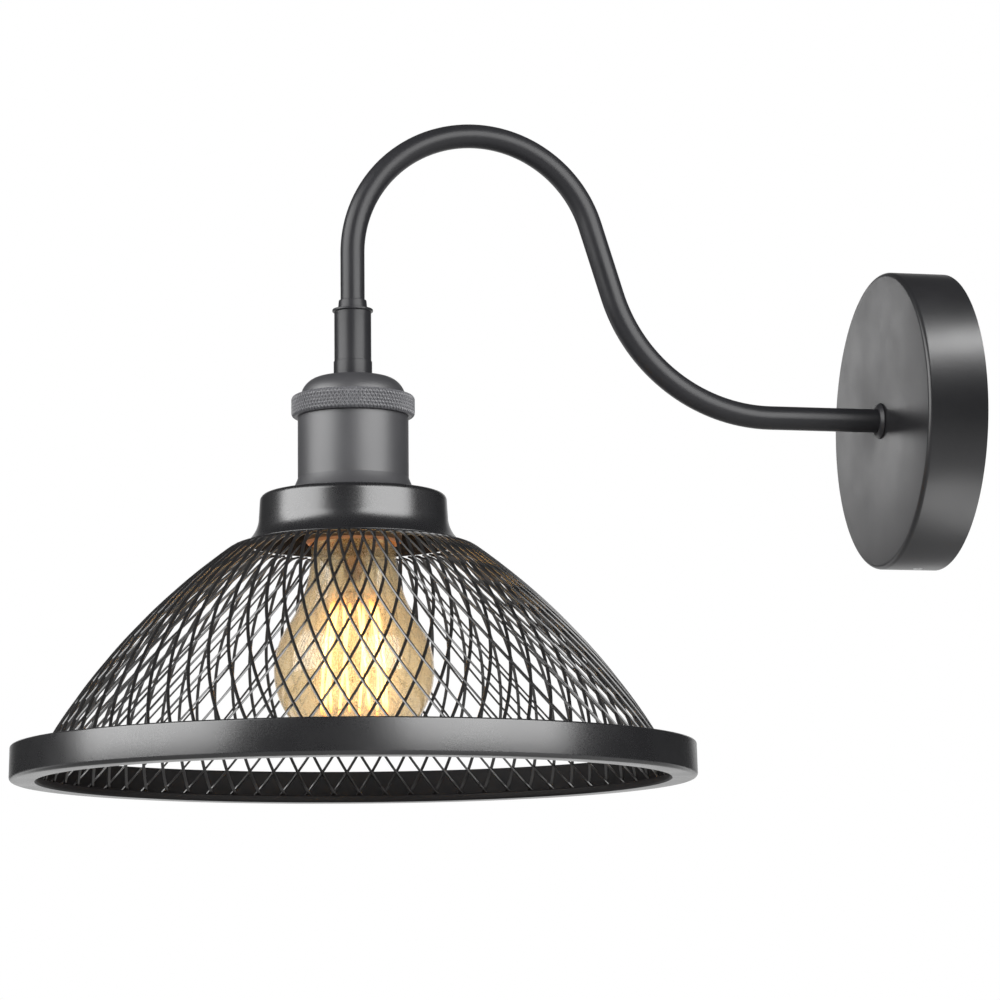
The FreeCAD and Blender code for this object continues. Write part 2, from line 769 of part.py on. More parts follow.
def make_ring():
    """Knurled ring that screws cap and shell together, with a rounded top and bottom edge."""
    half, curve = "ring_diameter / 2", "ring_round"
    top, foot = "ring_centre + ring_height / 2", "ring_centre - ring_height / 2"
    inner = "cap_diameter / 2 + contact_gap"
    turned_part("knurled_ring", [
        (inner, top),
        (half + " - " + curve, top),
        (half, top + " - " + curve),
        (half, foot + " + " + curve),
        (half + " - " + curve, foot),
        (inner, foot),
    ], {1: (curve, False), 3: (curve, False)})


def make_shell():
    """Plain drawn shell below the ring, with a small flared foot that stands on the collar."""
    half = "holder_diameter / 2"
    inner = half + " - holder_wall"
    top = "ring_centre - ring_height / 2 - contact_gap"
    turned_part("socket_shell", [
        (inner, top),
        (half, top),
        (half, "holder_foot + foot_height"),
        ("foot_diameter / 2", "holder_foot + foot_edge"),
        ("foot_diameter / 2", "holder_foot"),
        (inner, "holder_foot"),
    ], {2: ("foot_height * 4", True)})


def make_core():
    """Ceramic body: solid head with the terminals, deep bore for the lamp thread and a wide mouth."""
    bore = "thread_diameter / 2 + fit_gap"
    turned_part("socket_core", [
        ("0", "core_head"),
        ("core_diameter / 2", "core_head"),
        ("core_diameter / 2", "core_tail + core_chamfer"),
        ("core_diameter / 2 - core_chamfer", "core_tail"),
        ("core_mouth_diameter / 2", "core_tail"),
        (bore, "core_tail + core_mouth_depth"),
        (bore, "core_floor"),
        ("0", "core_floor"),
    ])
    turned_part("lamp_thread", [
        ("thread_diameter / 2 - thread_wall", "core_floor - contact_gap"),
        ("thread_diameter / 2", "core_floor - contact_gap"),
        ("thread_diameter / 2", "thread_tail"),
        ("thread_diameter / 2 - thread_wall", "thread_tail"),
    ])
    contact = new_body("centre_contact", "-arm_reach", "(core_floor - contact_gap)")
    strip = new_sketch(contact, "XY_Plane", "Strip")
    outline(strip, [
        ("-contact_length / 2", "-contact_width / 2"),
        ("contact_length / 2", "-contact_width / 2"),
        ("contact_length / 2", "contact_width / 2"),
        ("-contact_length / 2", "contact_width / 2"),
    ])
    pad(contact, strip, "contact_thick", flipped=True)
    screws = []
    for side in ("core_screw_spacing / 2", "-core_screw_spacing / 2"):
        screws.append(cylinder("core_screw_diameter", "core_screw_height", "-arm_reach",
                               "core_head + contact_gap", side))
    group_of("core_screws", *screws)


def make_clamp_ring():
    """Threaded ring that turns up the core and clamps the collar against the shell's foot."""
    top = "collar_top - collar_wall - free_gap"
    inner = "core_diameter / 2 + free_gap"
    turned_part("shade_ring", [
        (inner, top),
        ("clamp_ring_diameter / 2", top),
        ("clamp_ring_diameter / 2", top + " - clamp_ring_lip"),
        ("clamp_ring_hub / 2", top + " - clamp_ring_lip"),
        ("clamp_ring_hub / 2", top + " - clamp_ring_height"),
        (inner, top + " - clamp_ring_height"),
    ])


# ---------------------------------------------------------------- shade

def make_collar():
    """Spun collar: flat top on the shell's foot, rounded shoulder, wall, and a flared foot."""
    wall = "collar_wall"
    top = "collar_top"
    hole = "core_diameter / 2 + fit_gap"
    outer = "collar_diameter / 2"
    shoulder = "collar_shoulder"
    turned_part("shade_collar", [
        (hole, top),
        ("%s - %s" % (outer, shoulder), top),
        (outer, "%s - %s" % (top, shoulder)),
        ("collar_waist_diameter / 2", "collar_waist"),
        ("collar_foot_diameter / 2", "collar_foot + collar_edge"),
        ("collar_foot_diameter / 2 - collar_edge / 2", "collar_foot"),
        ("collar_foot_diameter / 2 - " + wall, "collar_foot"),
        ("collar_waist_diameter / 2 - " + wall, "collar_waist - collar_edge / 2"),
        ("%s - %s" % (outer, wall), "%s - %s" % (top, shoulder)),
        ("%s - %s" % (outer, shoulder), "%s - %s" % (top, wall)),
        (hole, "%s - %s" % (top, wall)),
    ], {
        1: (shoulder, False),
        3: ("collar_flare", True),
        6: ("collar_flare + " + wall, False),
        8: ("%s - %s" % (shoulder, wall), True),
    })


def make_rim():
    """Rolled rim: leaning outer band, bottom flange turned inward and a hem turned up at its edge."""
    wall, curve = "rim_wall", "rim_round"
    half, foot = "rim_diameter / 2", "rim_foot"
    brow = "rim_diameter / 2 - rim_lean"
    crest = "rim_foot + rim_height"
    opening = "(rim_diameter / 2 - rim_flange)"
    turned_part("rim_ring", [
        (half + " - " + curve, foot),
        (half, "%s + %s" % (foot, curve)),
        (brow, crest + " - " + wall + " / 2"),
        (brow + " - " + wall + " / 2", crest),
        (brow + " - " + wall, crest + " - " + wall + " / 2"),
        (half + " - " + wall, "%s + %s" % (foot, curve)),
        (half + " - " + curve, foot + " + " + wall),
        (opening + " + " + wall, foot + " + " + wall),
        (opening + " + " + wall, foot + " + rim_hem"),
        (opening + " + " + wall + " / 2", foot + " + rim_hem + " + wall + " / 3"),
        (opening, foot + " + rim_hem"),
        (opening, foot + " + rim_chamfer"),
        (opening + " + rim_chamfer", foot),
    ], {0: (curve, True)})


def net_corners():
    """The net's line as three points (radius, height): its top end, its shoulder and its foot.

    The top end lies flat under the collar's foot, and the foot stands in the corner of the rim's flange and hem.
    """
    half_stack = size("strand_thick") + size("contact_gap") / 2
    top = size("collar_foot") - size("contact_gap") - half_stack
    edge = size("collar_foot_diameter") / 2
    hem = size("rim_diameter") / 2 - size("rim_flange") + size("rim_wall")
    return (Vector(edge - size("strand_tuck"), top, 0),
            Vector(edge + size("shoulder_width"), top - size("shoulder_drop"), 0),
            Vector(hem + size("strand_stand_off"), size("rim_foot") + size("rim_wall") + size("strand_rest"), 0))


def net_stations():
    """Points down the net's line: the end, the shoulder, then an even walk down the dome's arc.

    Each is (point, outward direction, distance along the line).
    """
    start, shoulder, end = net_corners()
    spans = int(size("strand_spans"))
    flat = shoulder - start
    chord = end - shoulder
    bulge = size("dome_bulge")
    radius = (chord.Length ** 2 / 4 + bulge ** 2) / (2 * bulge)
    outward = Vector(-chord.y, chord.x, 0).normalize()
    centre = shoulder + chord * 0.5 - outward * (radius - bulge)
    half_turn = math.asin(chord.Length / 2 / radius)
    middle = math.atan2(outward.y, outward.x)
    stations = [(start, Vector(-flat.y, flat.x, 0).normalize(), 0.0)]
    for i in range(spans + 1):
        angle = middle + half_turn - 2 * half_turn * i / spans
        out = Vector(math.cos(angle), math.sin(angle), 0)
        facing = (out + stations[0][1]).normalize() if i == 0 else out
        stations.append((centre + out * radius, facing, flat.Length + 2 * half_turn * radius * i / spans))
    return stations


def strand(hand, layer):
    """One strand of the net: a flat strip that leans across the dome, lofted through its stations.

    The strands lean more towards the rim, so that the rows of crossings lie closer together there.
    """
    pitch = math.radians(360.0 / size("strand_count"))
    lift = layer * (size("strand_thick") + size("contact_gap")) / 2
    half_width, half_thick = size("strand_width") / 2, size("strand_thick") / 2
    line = net_stations()
    whole = line[-1][2]
    spots = []
    for point, out, walked in line:
        part = walked / whole
        rows = size("row_start") + size("row_count") * part * (1 - size("row_bend") * (1 - part))
        turned = Rotation(Vector(0, 0, 1), math.degrees(hand * rows * pitch / 2) + size("net_turn"))
        lifted = point + out * lift
        spots.append((turned.multVec(Vector(lifted.x, 0, lifted.y)), turned.multVec(Vector(out.x, 0, out.y))))
    sections = []
    for i, (spot, out) in enumerate(spots):
        before, after = spots[max(i - 1, 0)][0], spots[min(i + 1, len(spots) - 1)][0]
        across = (after - before).cross(out).normalize()
        corners = [spot + across * (half_width * a) + out * (half_thick * b)
                   for a, b in ((1, 1), (-1, 1), (-1, -1), (1, -1))]
        sections.append(Part.makePolygon(corners + corners[:1]))
    return Part.makeLoft(sections, True, True)


def make_net():
    """Two layers of strands that cross at every node, as many each way, spaced evenly round the dome."""
    count = int(size("strand_count"))
    for label, hand, layer in (("outer_strands", 1, 1), ("inner_strands", -1, -1)):
        one = strand(hand, layer)
        copies = []
        for i in range(count):
            copy = one.copy()
            copy.rotate(Vector(0, 0, 0), Vector(0, 0, 1), i * 360.0 / count)
            copies.append(copy)
        net = doc.addObject("Part::Feature", "Net")
        net.Shape = Part.makeCompound(copies)
        net.Placement = Placement(Vector(0, -size("arm_reach"), 0), Rotation())
        keep(net, label)


# ---------------------------------------------------------------- bulb

# the envelope's mouth is cemented to the foot of the cap
MOUTH = "bulb_cap_diameter / 2 - bulb_mouth_inset"
MOUTH_TOP = "bulb_cap_foot - bulb_mouth_rise"


def glass_wall(sketch):
    """Closed outline of the blown envelope: neck, concave throat and round crown, all tangent."""
    wall = size("bulb_glass_wall")
    ball = size("bulb_diameter") / 2
    centre = size("bulb_centre")
    neck = size("bulb_neck_diameter") / 2
    neck_top = size("bulb_neck")
    mouth = worth(MOUTH)
    mouth_top = worth(MOUTH_TOP)
    # radius of the throat's arc, tangent to the neck and to the ball
    drop = neck_top - centre
    throat = (drop ** 2 + neck ** 2 - ball ** 2) / (2 * (ball - neck))
    throat_centre = Vector(neck + throat, neck_top, 0)
    ball_centre = Vector(0, centre, 0)
    toward = (throat_centre - ball_centre).normalize()
    up = Vector(0, 0, 1)
    turn = math.atan2(toward.y, toward.x)
    outer_ball = Part.ArcOfCircle(Part.Circle(ball_centre, up, ball), -math.pi / 2, turn)
    outer_throat = Part.ArcOfCircle(Part.Circle(throat_centre, up, throat), math.pi, math.pi + turn)
    inner_ball = Part.ArcOfCircle(Part.Circle(ball_centre, up, ball - wall), -math.pi / 2, turn)
    inner_throat = Part.ArcOfCircle(Part.Circle(throat_centre, up, throat + wall), math.pi, math.pi + turn)
    neck_out = Vector(neck, neck_top, 0)
    neck_in = Vector(neck - wall, neck_top, 0)
    mouth_out = Vector(mouth, mouth_top, 0)
    mouth_in = Vector(mouth - wall, mouth_top, 0)
    shapes = [
        outer_ball,
        outer_throat,
        Part.LineSegment(neck_out, mouth_out),
        Part.LineSegment(mouth_out, mouth_in),
        Part.LineSegment(mouth_in, neck_in),
        inner_throat,
        inner_ball,
        Part.LineSegment(Vector(0, centre - ball + wall, 0), Vector(0, centre - ball, 0)),
    ]
    ids = [sketch.addGeometry(shape, False) for shape in shapes]
    link = Sketcher.Constraint
    sketch.addConstraint([
        link("Tangent", ids[0], 2, ids[1], 2),
        link("Coincident", ids[1], 1, ids[2], 1),
        link("Coincident", ids[2], 2, ids[3], 1),
        link("Coincident", ids[3], 2, ids[4], 1),
        link("Coincident", ids[4], 2, ids[5], 1),
        link("Tangent", ids[5], 2, ids[6], 2),
        link("Coincident", ids[6], 1, ids[7], 1),
        link("Coincident", ids[7], 2, ids[0], 1),
        link("Coincident", ids[6], 3, ids[0], 3),
        link("Coincident", ids[5], 3, ids[1], 3),
        link("PointOnObject", ids[0], 3, -2),
        link("PointOnObject", ids[0], 1, -2),
        link("PointOnObject", ids[6], 1, -2),
        link("Horizontal", ids[3]),
        link("Horizontal", ids[1], 1, ids[1], 3),
        link("Horizontal", ids[5], 1, ids[5], 3),
    ])
    bind(sketch, sketch.addConstraint(link("Radius", ids[0], ball)), "ball", "bulb_diameter / 2")
    bind(sketch, sketch.addConstraint(link("Radius", ids[6], ball - wall)), "ballin",
         "bulb_diameter / 2 - bulb_glass_wall")
    bind(sketch, sketch.addConstraint(link("DistanceY", -1, 1, ids[0], 3, centre)), "centre", "bulb_centre")
    place_point(sketch, ids[2], 1, "neck", "bulb_neck_diameter / 2", "bulb_neck")
    place_point(sketch, ids[2], 2, "mouth", MOUTH, MOUTH_TOP)
    bind(sketch, sketch.addConstraint(link("DistanceX", ids[3], 2, ids[3], 1, wall)), "wall", "bulb_glass_wall")


def make_bulb():
    """Screw bulb: envelope, brass cap, insulator, tip, glass stem, support wires and filament."""
    glass = new_body("bulb_glass", "-arm_reach")
    section = new_sketch(glass, "XZ_Plane", "Section")
    glass_wall(section)
    revolve(glass, section)
    cap = "bulb_cap_diameter / 2"
    turned_part("bulb_cap", [
        (cap + " - bulb_cap_wall", "bulb_cap_foot"),
        (cap, "bulb_cap_foot"),
        (cap, "bulb_cap_top - bulb_cap_chamfer"),
        (cap + " - bulb_cap_chamfer", "bulb_cap_top"),
        (cap + " - bulb_cap_chamfer - bulb_cap_wall", "bulb_cap_top"),
        (cap + " - bulb_cap_wall", "bulb_cap_top - bulb_cap_chamfer"),
    ])
    turned_part("bulb_insulator", [
        ("0", "bulb_cap_top - insulator_depth"),
        (cap + " - insulator_inset", "bulb_cap_top - insulator_depth"),
        (cap + " - insulator_inset", "bulb_cap_top"),
        ("bulb_tip_diameter / 2", "bulb_tip_top - bulb_tip_height"),
        ("0", "bulb_tip_top - bulb_tip_height"),
    ])
    turned_part("bulb_contact", [
        ("0", "bulb_tip_top - bulb_tip_height + contact_gap"),
        ("bulb_tip_diameter / 2", "bulb_tip_top - bulb_tip_height + contact_gap"),
        ("bulb_tip_diameter / 2", "bulb_tip_top - bulb_tip_edge"),
        ("bulb_tip_diameter / 2 - 2 * bulb_tip_edge", "bulb_tip_top"),
        ("0", "bulb_tip_top"),
    ])
    turned_part("glass_stem", [
        ("0", MOUTH_TOP),
        (MOUTH + " - bulb_glass_wall - fit_gap", MOUTH_TOP),
        ("stem_diameter * 0.9", MOUTH_TOP + " - stem_skirt"),
        ("stem_diameter / 2", "stem_flare"),
        ("stem_waist_diameter / 2", "stem_end + hub_height + hub_taper"),
        ("hub_diameter / 2", "stem_end + hub_height"),
        ("hub_diameter / 2", "stem_end"),
        ("0", "stem_end"),
    ])


def rod(start, end, diameter, sides=6):
    """A straight bit of wire with flat sides."""
    axis = end - start
    across = axis.cross(Vector(0.31, 0.17, 0.93)).normalize()
    other = axis.cross(across).normalize()
    corners = [start + (across * math.cos(2 * math.pi * i / sides) + other * math.sin(2 * math.pi * i / sides))
               * (diameter / 2) for i in range(sides)]
    return Part.Face(Part.makePolygon(corners + corners[:1])).extrude(axis)


def make_filament():
    """Squirrel-cage filament: near-vertical runs round a cone, each held by a support at both ends."""
    count = int(size("filament_strands"))
    top, foot = size("filament_top"), size("filament_foot")
    high, low = size("filament_top_radius"), size("filament_foot_radius")
    wire, prop = size("filament_wire"), size("support_wire")
    hub = size("hub_diameter") / 2
    gap = size("fit_gap")
    runs = []
    for i in range(count):
        turn = 2 * math.pi * i / count
        lean = math.pi / count
        upper = Vector(high * math.cos(turn), high * math.sin(turn), top)
        lower = Vector(low * math.cos(turn + lean), low * math.sin(turn + lean), foot)
        runs.append(rod(lower, upper, wire))
    filament = doc.addObject("Part::Feature", "Filament")
    filament.Shape = Part.makeCompound(runs)
    filament.Placement = Placement(Vector(0, -size("arm_reach"), 0), Rotation())
    keep(filament, "filament")
    props = []
    spine_foot = Vector(0, 0, foot)
    spine_top = Vector(0, 0, size("stem_end") - gap)
    props.append(rod(spine_foot, spine_top, prop * 2))
    for i in range(count):
        turn = 2 * math.pi * i / count
        lean = math.pi / count
        tip = high - wire / 2 - gap
        facing = Vector(math.cos(turn), math.sin(turn), 0)
        props.append(rod(facing * (hub + prop / 2) + Vector(0, 0, size("stem_end") + hub / 2),
                         facing * tip + Vector(0, 0, top - wire), prop))
        reach = low - wire / 2 - gap
        way = Vector(math.cos(turn + lean), math.sin(turn + lean), 0)
        props.append(rod(way * (2 * prop) + Vector(0, 0, foot + 4 * wire), way * reach + Vector(0, 0, foot + wire),
                         prop))
    supports = doc.addObject("Part::Feature", "Supports")
    supports.Shape = Part.makeCompound(props)
    supports.Placement = Placement(Vector(0, -size("arm_reach"), 0), Rotation())
    keep(supports, "filament_supports")


# ---------------------------------------------------------------- the whole light

make_wall_bracket()
make_canopy_cup()
make_canopy_screws()
make_arm_fixings()
make_earth_screw()
make_terminal_block()
make_arm_tube()
make_leads()
make_coupler()
make_nipple()
make_cap()
make_ring()
make_shell()
make_core()
make_clamp_ring()
make_collar()
make_rim()
make_net()
make_bulb()
make_filament()
doc.recompute()

for item in doc.Objects:
    if "Invalid" in item.State or "Error" in item.State:
        raise RuntimeError("%s (%s) did not build" % (item.Label, item.Name))
for node in nodes:
    if node.Shape.isNull() or not node.Shape.isValid() or not node.Shape.Solids:
        raise RuntimeError(node.Label + " is not a sound solid")

os.makedirs("parts", exist_ok=True)
for node in nodes:
    node.Shape.exportStep("parts/%s.step" % node.Label)
    print("%-18s %3d solids %5d faces %10.1f mm3" % (
        node.Label, len(node.Shape.Solids), len(node.Shape.Faces), node.Shape.Volume))
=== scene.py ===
import json
import math

import bmesh
import bpy
from mathutils import Matrix, Vector


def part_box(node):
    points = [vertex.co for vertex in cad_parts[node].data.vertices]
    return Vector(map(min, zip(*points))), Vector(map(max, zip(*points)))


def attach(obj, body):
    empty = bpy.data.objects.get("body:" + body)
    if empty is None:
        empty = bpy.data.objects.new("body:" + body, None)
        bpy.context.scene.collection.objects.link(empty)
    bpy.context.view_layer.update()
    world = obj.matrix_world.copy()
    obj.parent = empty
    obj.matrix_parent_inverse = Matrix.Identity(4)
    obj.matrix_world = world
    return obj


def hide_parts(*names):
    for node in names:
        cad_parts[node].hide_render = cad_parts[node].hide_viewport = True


bl_info = {
    "name": "Mesh Shade Wall Light",
    "version": (1, 0, 0),
    "blender": (4, 5, 0),
    "location": "3D View > Sidebar > Wall Light",
    "description": "Builds a gooseneck wall light with a dome of crossed steel strands",
    "category": "Add Mesh",
}

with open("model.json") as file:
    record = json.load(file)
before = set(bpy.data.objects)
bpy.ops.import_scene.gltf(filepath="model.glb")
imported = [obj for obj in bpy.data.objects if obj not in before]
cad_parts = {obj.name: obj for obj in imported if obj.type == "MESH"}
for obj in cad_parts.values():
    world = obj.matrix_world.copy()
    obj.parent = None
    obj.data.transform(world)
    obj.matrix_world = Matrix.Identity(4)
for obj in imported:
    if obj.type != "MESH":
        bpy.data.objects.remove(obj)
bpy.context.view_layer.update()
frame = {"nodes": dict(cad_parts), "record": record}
MM = 0.001
FIT = 0.05  # room between two pieces that fit together, in mm


def middle_of(node):
    low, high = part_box(node)
    return (low + high) / 2


SHADE_LINE = middle_of("rim_ring").y


# ---- what a user can change

def height(name, text, millimetres, **more):
    return bpy.props.FloatProperty(name=name, description=text, default=millimetres * MM, unit="LENGTH",
                                   precision=5, **more)


def length(name, text, millimetres):
    return height(name, text, millimetres, min=0.0)


def angle(name, text, degrees):
    return bpy.props.FloatProperty(name=name, description=text, default=math.radians(degrees),
                                   subtype="ANGLE", unit="ROTATION")


def number(name, text, value, **more):
    return bpy.props.FloatProperty(name=name, description=text, default=value, **more)


def whole(name, text, value, least):
    return bpy.props.IntProperty(name=name, description=text, default=value, min=least)


def tint(name, text, *colour):
    return bpy.props.FloatVectorProperty(name=name, description=text, default=colour, subtype="COLOR",
                                         min=0.0, max=1.0)


def group_of(name, text, kind):
    return bpy.props.PointerProperty(name=name, description=text, type=kind)


class WALLLIGHT_PG_canopy(bpy.types.PropertyGroup):
    """Cup on the wall and the washer round the arm."""
    diameter: length("Diameter", "Across the cup", 120.0)
    depth: length("Depth", "From the wall to the cup's face", 24.2)
    wall: length("Sheet", "Thickness of the spun sheet", 1.0)
    edge: length("Edge Round", "Radius of the cup's outer edge", 1.8)
    screw_setback: length("Screw Setback", "From the wall to the side screws", 10.0)
    screw_hole: length("Screw Hole", "Diameter of the side screws' holes", 4.2)
    washer: length("Washer", "Across the washer on the cup's face", 14.4)
    washer_thick: length("Washer Thickness", "How far the washer stands out", 1.8)


class WALLLIGHT_PG_arm(bpy.types.PropertyGroup):
    """Bent tube."""
    diameter: length("Tube", "Outer diameter of the tube", 9.5)
    wall: length("Tube Wall", "Thickness of the tube's wall", 1.0)
    reach: length("Reach", "From the wall to the middle of the shade", -SHADE_LINE / MM)
    top: length("Arch Height", "Height of the tube's line at the top of the arch", 110.6)
    arch: length("Arch Radius", "Radius of the arch over the shade", 49.4)
    sweep: length("Sweep Radius", "Radius of the wide bend by the wall", 67.6)
    droop: angle("Slope", "Slope of the tube between its two bends", 72.7)
    tail: length("Tail", "Where the tube ends inside the canopy", 17.0)
    seat: height("Seat", "Height at which the tube stands in the coupler", 24.0)


class WALLLIGHT_PG_holder(bpy.types.PropertyGroup):
    """Lamp holder: coupler, cap, knurled ring and shell."""
    lip: height("Lip Height", "Height of the coupler's thin lip", 38.5)
    lip_diameter: length("Lip", "Across the coupler's lip", 16.0)
    cone: length("Cone", "Height of the cone over the lip", 3.6)
    barrel: length("Barrel", "Across the coupler's barrel", 14.5)
    heel: length("Heel", "Across the barrel's wider heel", 15.1)
    heel_top: height("Heel Top", "Height at which the heel begins", 17.6)
    cap_top: height("Cap Top", "Height of the cap's flat crown", 11.2)
    cap: length("Cap", "Across the cap", 41.2)
    cap_round: length("Cap Round", "Radius of the cap's quarter-round edge", 8.5)
    ring: length("Ring", "Across the knurled ring", 48.3)
    ring_middle: height("Ring Middle", "Height of the middle of the knurled ring", -0.35)
    ring_height: length("Ring Height", "Height of the knurled ring", 8.2)
    ring_round: length("Ring Round", "Radius of the ring's two edges", 1.5)
    knurls: whole("Knurls", "Ridges round the ring, each way", 100, 12)
    knurl_depth: length("Knurl Depth", "How deep the pits between the ridges are", 0.55)
    knurl_rows: number("Knurl Rows", "Ridges that one ridge crosses up the ring", 3.1)
    shell: length("Shell", "Across the plain shell", 43.3)
    foot: height("Foot", "Height of the shell's foot", -35.0)
    foot_diameter: length("Foot Flare", "Across the shell's flared foot", 49.0)
    flare: length("Flare Height", "Height of the shell's flared foot", 6.3)


class WALLLIGHT_PG_shade(bpy.types.PropertyGroup):
    """Collar, net and rim."""
    collar: length("Collar", "Across the collar under its shoulder", 72.8)
    collar_top: height("Collar Top", "Height of the collar's flat top", -35.2)
    shoulder: length("Shoulder", "Radius of the collar's shoulder", 2.6)
    collar_waist: height("Collar Waist", "Height at which the collar begins to flare", -45.3)
    waist_diameter: length("Waist Width", "Across the collar where it begins to flare", 73.7)
    flare: length("Flare", "Radius of the collar's flare", 13.0)
    collar_foot: height("Collar Foot", "Height of the collar's lower edge", -54.5)
    collar_foot_diameter: length("Collar Foot Width", "Across the collar's lower edge", 83.0)
    rim: length("Rim", "Across the rim", 264.2)
    rim_height: length("Rim Height", "Height of the rim's band", 13.6)
    rim_foot: height("Rim Foot", "Height of the rim's underside", -146.8)
    rim_flange: length("Flange", "Width of the rim's flange", 10.5)
    strands: whole("Strands", "Strands of the net, each way", 72, 12)
    strand_width: length("Strand Width", "Width of one strand", 1.2)
    strand_thick: length("Strand Thickness", "Thickness of one strand", 0.7)
    bulge: length("Bulge", "How far the dome's curve stands off its chord", 7.05)
    row_start: number("First Row", "Row of crossings at the net's top end", -1.65)
    row_count: number("Rows", "Rows of crossings down the net", 10.96)
    row_bend: number("Row Bend", "How much closer the rows lie at the rim", 0.278)
    net_turn: angle("Net Turn", "Turn of the whole net about the shade's line", 1.3)
    twist: angle("Twist", "How much each strand is turned out of the dome's face", 42.0)


class WALLLIGHT_PG_bulb(bpy.types.PropertyGroup):
    """Screw bulb with a squirrel-cage filament."""
    diameter: length("Bulb", "Across the bulb", 62.0)
    centre: height("Centre", "Height of the middle of the bulb's ball", -104.0)
    neck: length("Neck", "Across the bulb's neck", 33.0)
    neck_height: height("Neck Height", "Height of the bulb's neck", -56.5)
    glass: length("Glass", "Thickness of the glass", 0.7)
    strands: whole("Filament Runs", "Runs of filament round the cage", 10, 4)
    wire: length("Filament Wire", "Width of the glowing filament", 1.1)
    glow: number("Glow", "Strength of the filament's light", 7.5, min=0.0)
    lamp: number("Lamp", "Power of the bulb's light on the shade", 0.06, min=0.0, subtype="POWER",
                 unit="POWER")


class WALLLIGHT_PG_finish(bpy.types.PropertyGroup):
    """Colours of the finishes."""
    canopy: tint("Canopy Paint", "Satin paint of the canopy", 0.013, 0.013, 0.0145)
    arm: tint("Arm Paint", "Satin paint of the arm", 0.018, 0.018, 0.020)
    holder: tint("Holder Finish", "Graphite finish of the lamp holder", 0.042, 0.042, 0.045)
    shade: tint("Shade Paint", "Satin paint of the collar and the rim", 0.009, 0.009, 0.010)
    net: tint("Net Paint", "Paint of the strands", 0.011, 0.0105, 0.0105)
    zinc: tint("Zinc", "Zinc plate", 0.62, 0.63, 0.65)
    brass: tint("Brass", "Brass of the contacts", 0.78, 0.57, 0.27)
    # the ceramic's orange-brown is partly its own colour and partly painted glow of the bulb on the holder's
    # mouth
    ceramic: tint("Ceramic", "Body of the lamp holder", 0.42, 0.25, 0.14)
    glass: tint("Glass", "Champagne tint of the bulb", 0.87, 0.77, 0.56)
    filament: tint("Filament", "Light of the filament", 1.0, 0.54, 0.19)


class WALLLIGHT_PG_light(bpy.types.PropertyGroup):
    """All sizes and finishes of the wall light."""
    canopy: group_of("Canopy", "Cup on the wall", WALLLIGHT_PG_canopy)
    arm: group_of("Arm", "Bent tube", WALLLIGHT_PG_arm)
    holder: group_of("Holder", "Lamp holder", WALLLIGHT_PG_holder)
    shade: group_of("Shade", "Collar, net and rim", WALLLIGHT_PG_shade)
    bulb: group_of("Bulb", "Screw bulb", WALLLIGHT_PG_bulb)
    finish: group_of("Finish", "Colours", WALLLIGHT_PG_finish)


class Millimetres:
    """The lengths of a property group, read in mm."""

    def __init__(self, group):
        self.group = group

    def __getattr__(self, name):
        return getattr(self.group, name) / MM


# ---- outlines, in mm

def bend(start, end, radius, left, steps):
    """Points on the arc between two points of an outline, without its ends."""
    first, last = Vector(start), Vector(end)
    half = (last - first) / 2
    rise = math.sqrt(max(radius ** 2 - half.length_squared, 0.0))
    side = Vector((-half.y, half.x)).normalized() * (rise if left else -rise)
    centre = (first + last) / 2 + side
    a = math.atan2(first.y - centre.y, first.x - centre.x)
    b = math.atan2(last.y - centre.y, last.x - centre.x)
    turn = (b - a + math.pi) % (2 * math.pi) - math.pi
    return [(centre.x + radius * math.cos(a + turn * k / steps),
             centre.y + radius * math.sin(a + turn * k / steps)) for k in range(1, steps)]


def softened(*marks, steps=4):
    """An outline from corners (across, up, radius), which are rounded, points (across, up), which stay,
    and arcs ("left" or "right", radius, steps), each between the two marks beside it."""
    corners = []
    for i, mark in enumerate(marks):
        if isinstance(mark[0], str):
            side, radius, count = mark
            corners += bend(marks[i - 1][:2], marks[i + 1][:2], radius, side == "left", count)
        else:
            corners.append(mark)
    made = []
    for i, corner in enumerate(corners):
        if len(corner) < 3:
            spot = Vector(corner)
            made.append((spot.x, spot.y))
            continue
        here = Vector(corner[:2])
        back = Vector(corners[i - 1][:2]) - here
        ahead = Vector(corners[(i + 1) % len(corners)][:2]) - here
        reach = min(corner[2], back.length * 0.45, ahead.length * 0.45)
        first = here + back.normalized() * reach
        last = here + ahead.normalized() * reach
        for k in range(steps + 1):
            t = k / steps
            spot = first * (1 - t) ** 2 + here * 2 * t * (1 - t) + last * t ** 2
            made.append((spot.x, spot.y))
    return made


# ---- mesh code

def circle(steps):
    return [2 * math.pi * k / steps for k in range(steps)]


def about(radius, turn, up):
    """A point about the shade's line, from its radius and its height in mm."""
    return (radius * MM * math.cos(turn), SHADE_LINE + radius * MM * math.sin(turn), up * MM)


def placed(name, data):
    made = bpy.data.objects.new(name, data)
    bpy.context.scene.collection.objects.link(made)
    return made


def piece_from(name, points, faces, sharp=35.0):
    """A new object from points in metres and faces, shaded smooth between sharp edges."""
    mesh = bpy.data.meshes.new(name)
    mesh.from_pydata([tuple(p) for p in points], [], faces)
    mesh.validate()
    shape = bmesh.new()
    shape.from_mesh(mesh)
    bmesh.ops.recalc_face_normals(shape, faces=shape.faces)
    shape.to_mesh(mesh)
    shape.free()
    mesh.shade_smooth()
    mesh.set_sharp_from_angle(angle=math.radians(sharp))
    return placed(name, mesh)


def skin(points, faces, rings, closed=False, capped=False):
    """Join rings of equal count with faces, and add them to a growing list of points and faces."""
    first = len(points)
    size = len(rings[0])
    for ring in rings:
        points.extend(ring)
    for i in range(len(rings) if closed else len(rings) - 1):
        a = first + i * size
        b = first + ((i + 1) % len(rings)) * size
        for k in range(size):
            n = (k + 1) % size
            faces.append((a + k, a + n, b + n, b + k))
    if capped:
        last = first + (len(rings) - 1) * size
        faces.append(tuple(range(first, first + size)))
        faces.append(tuple(range(last, last + size))[::-1])


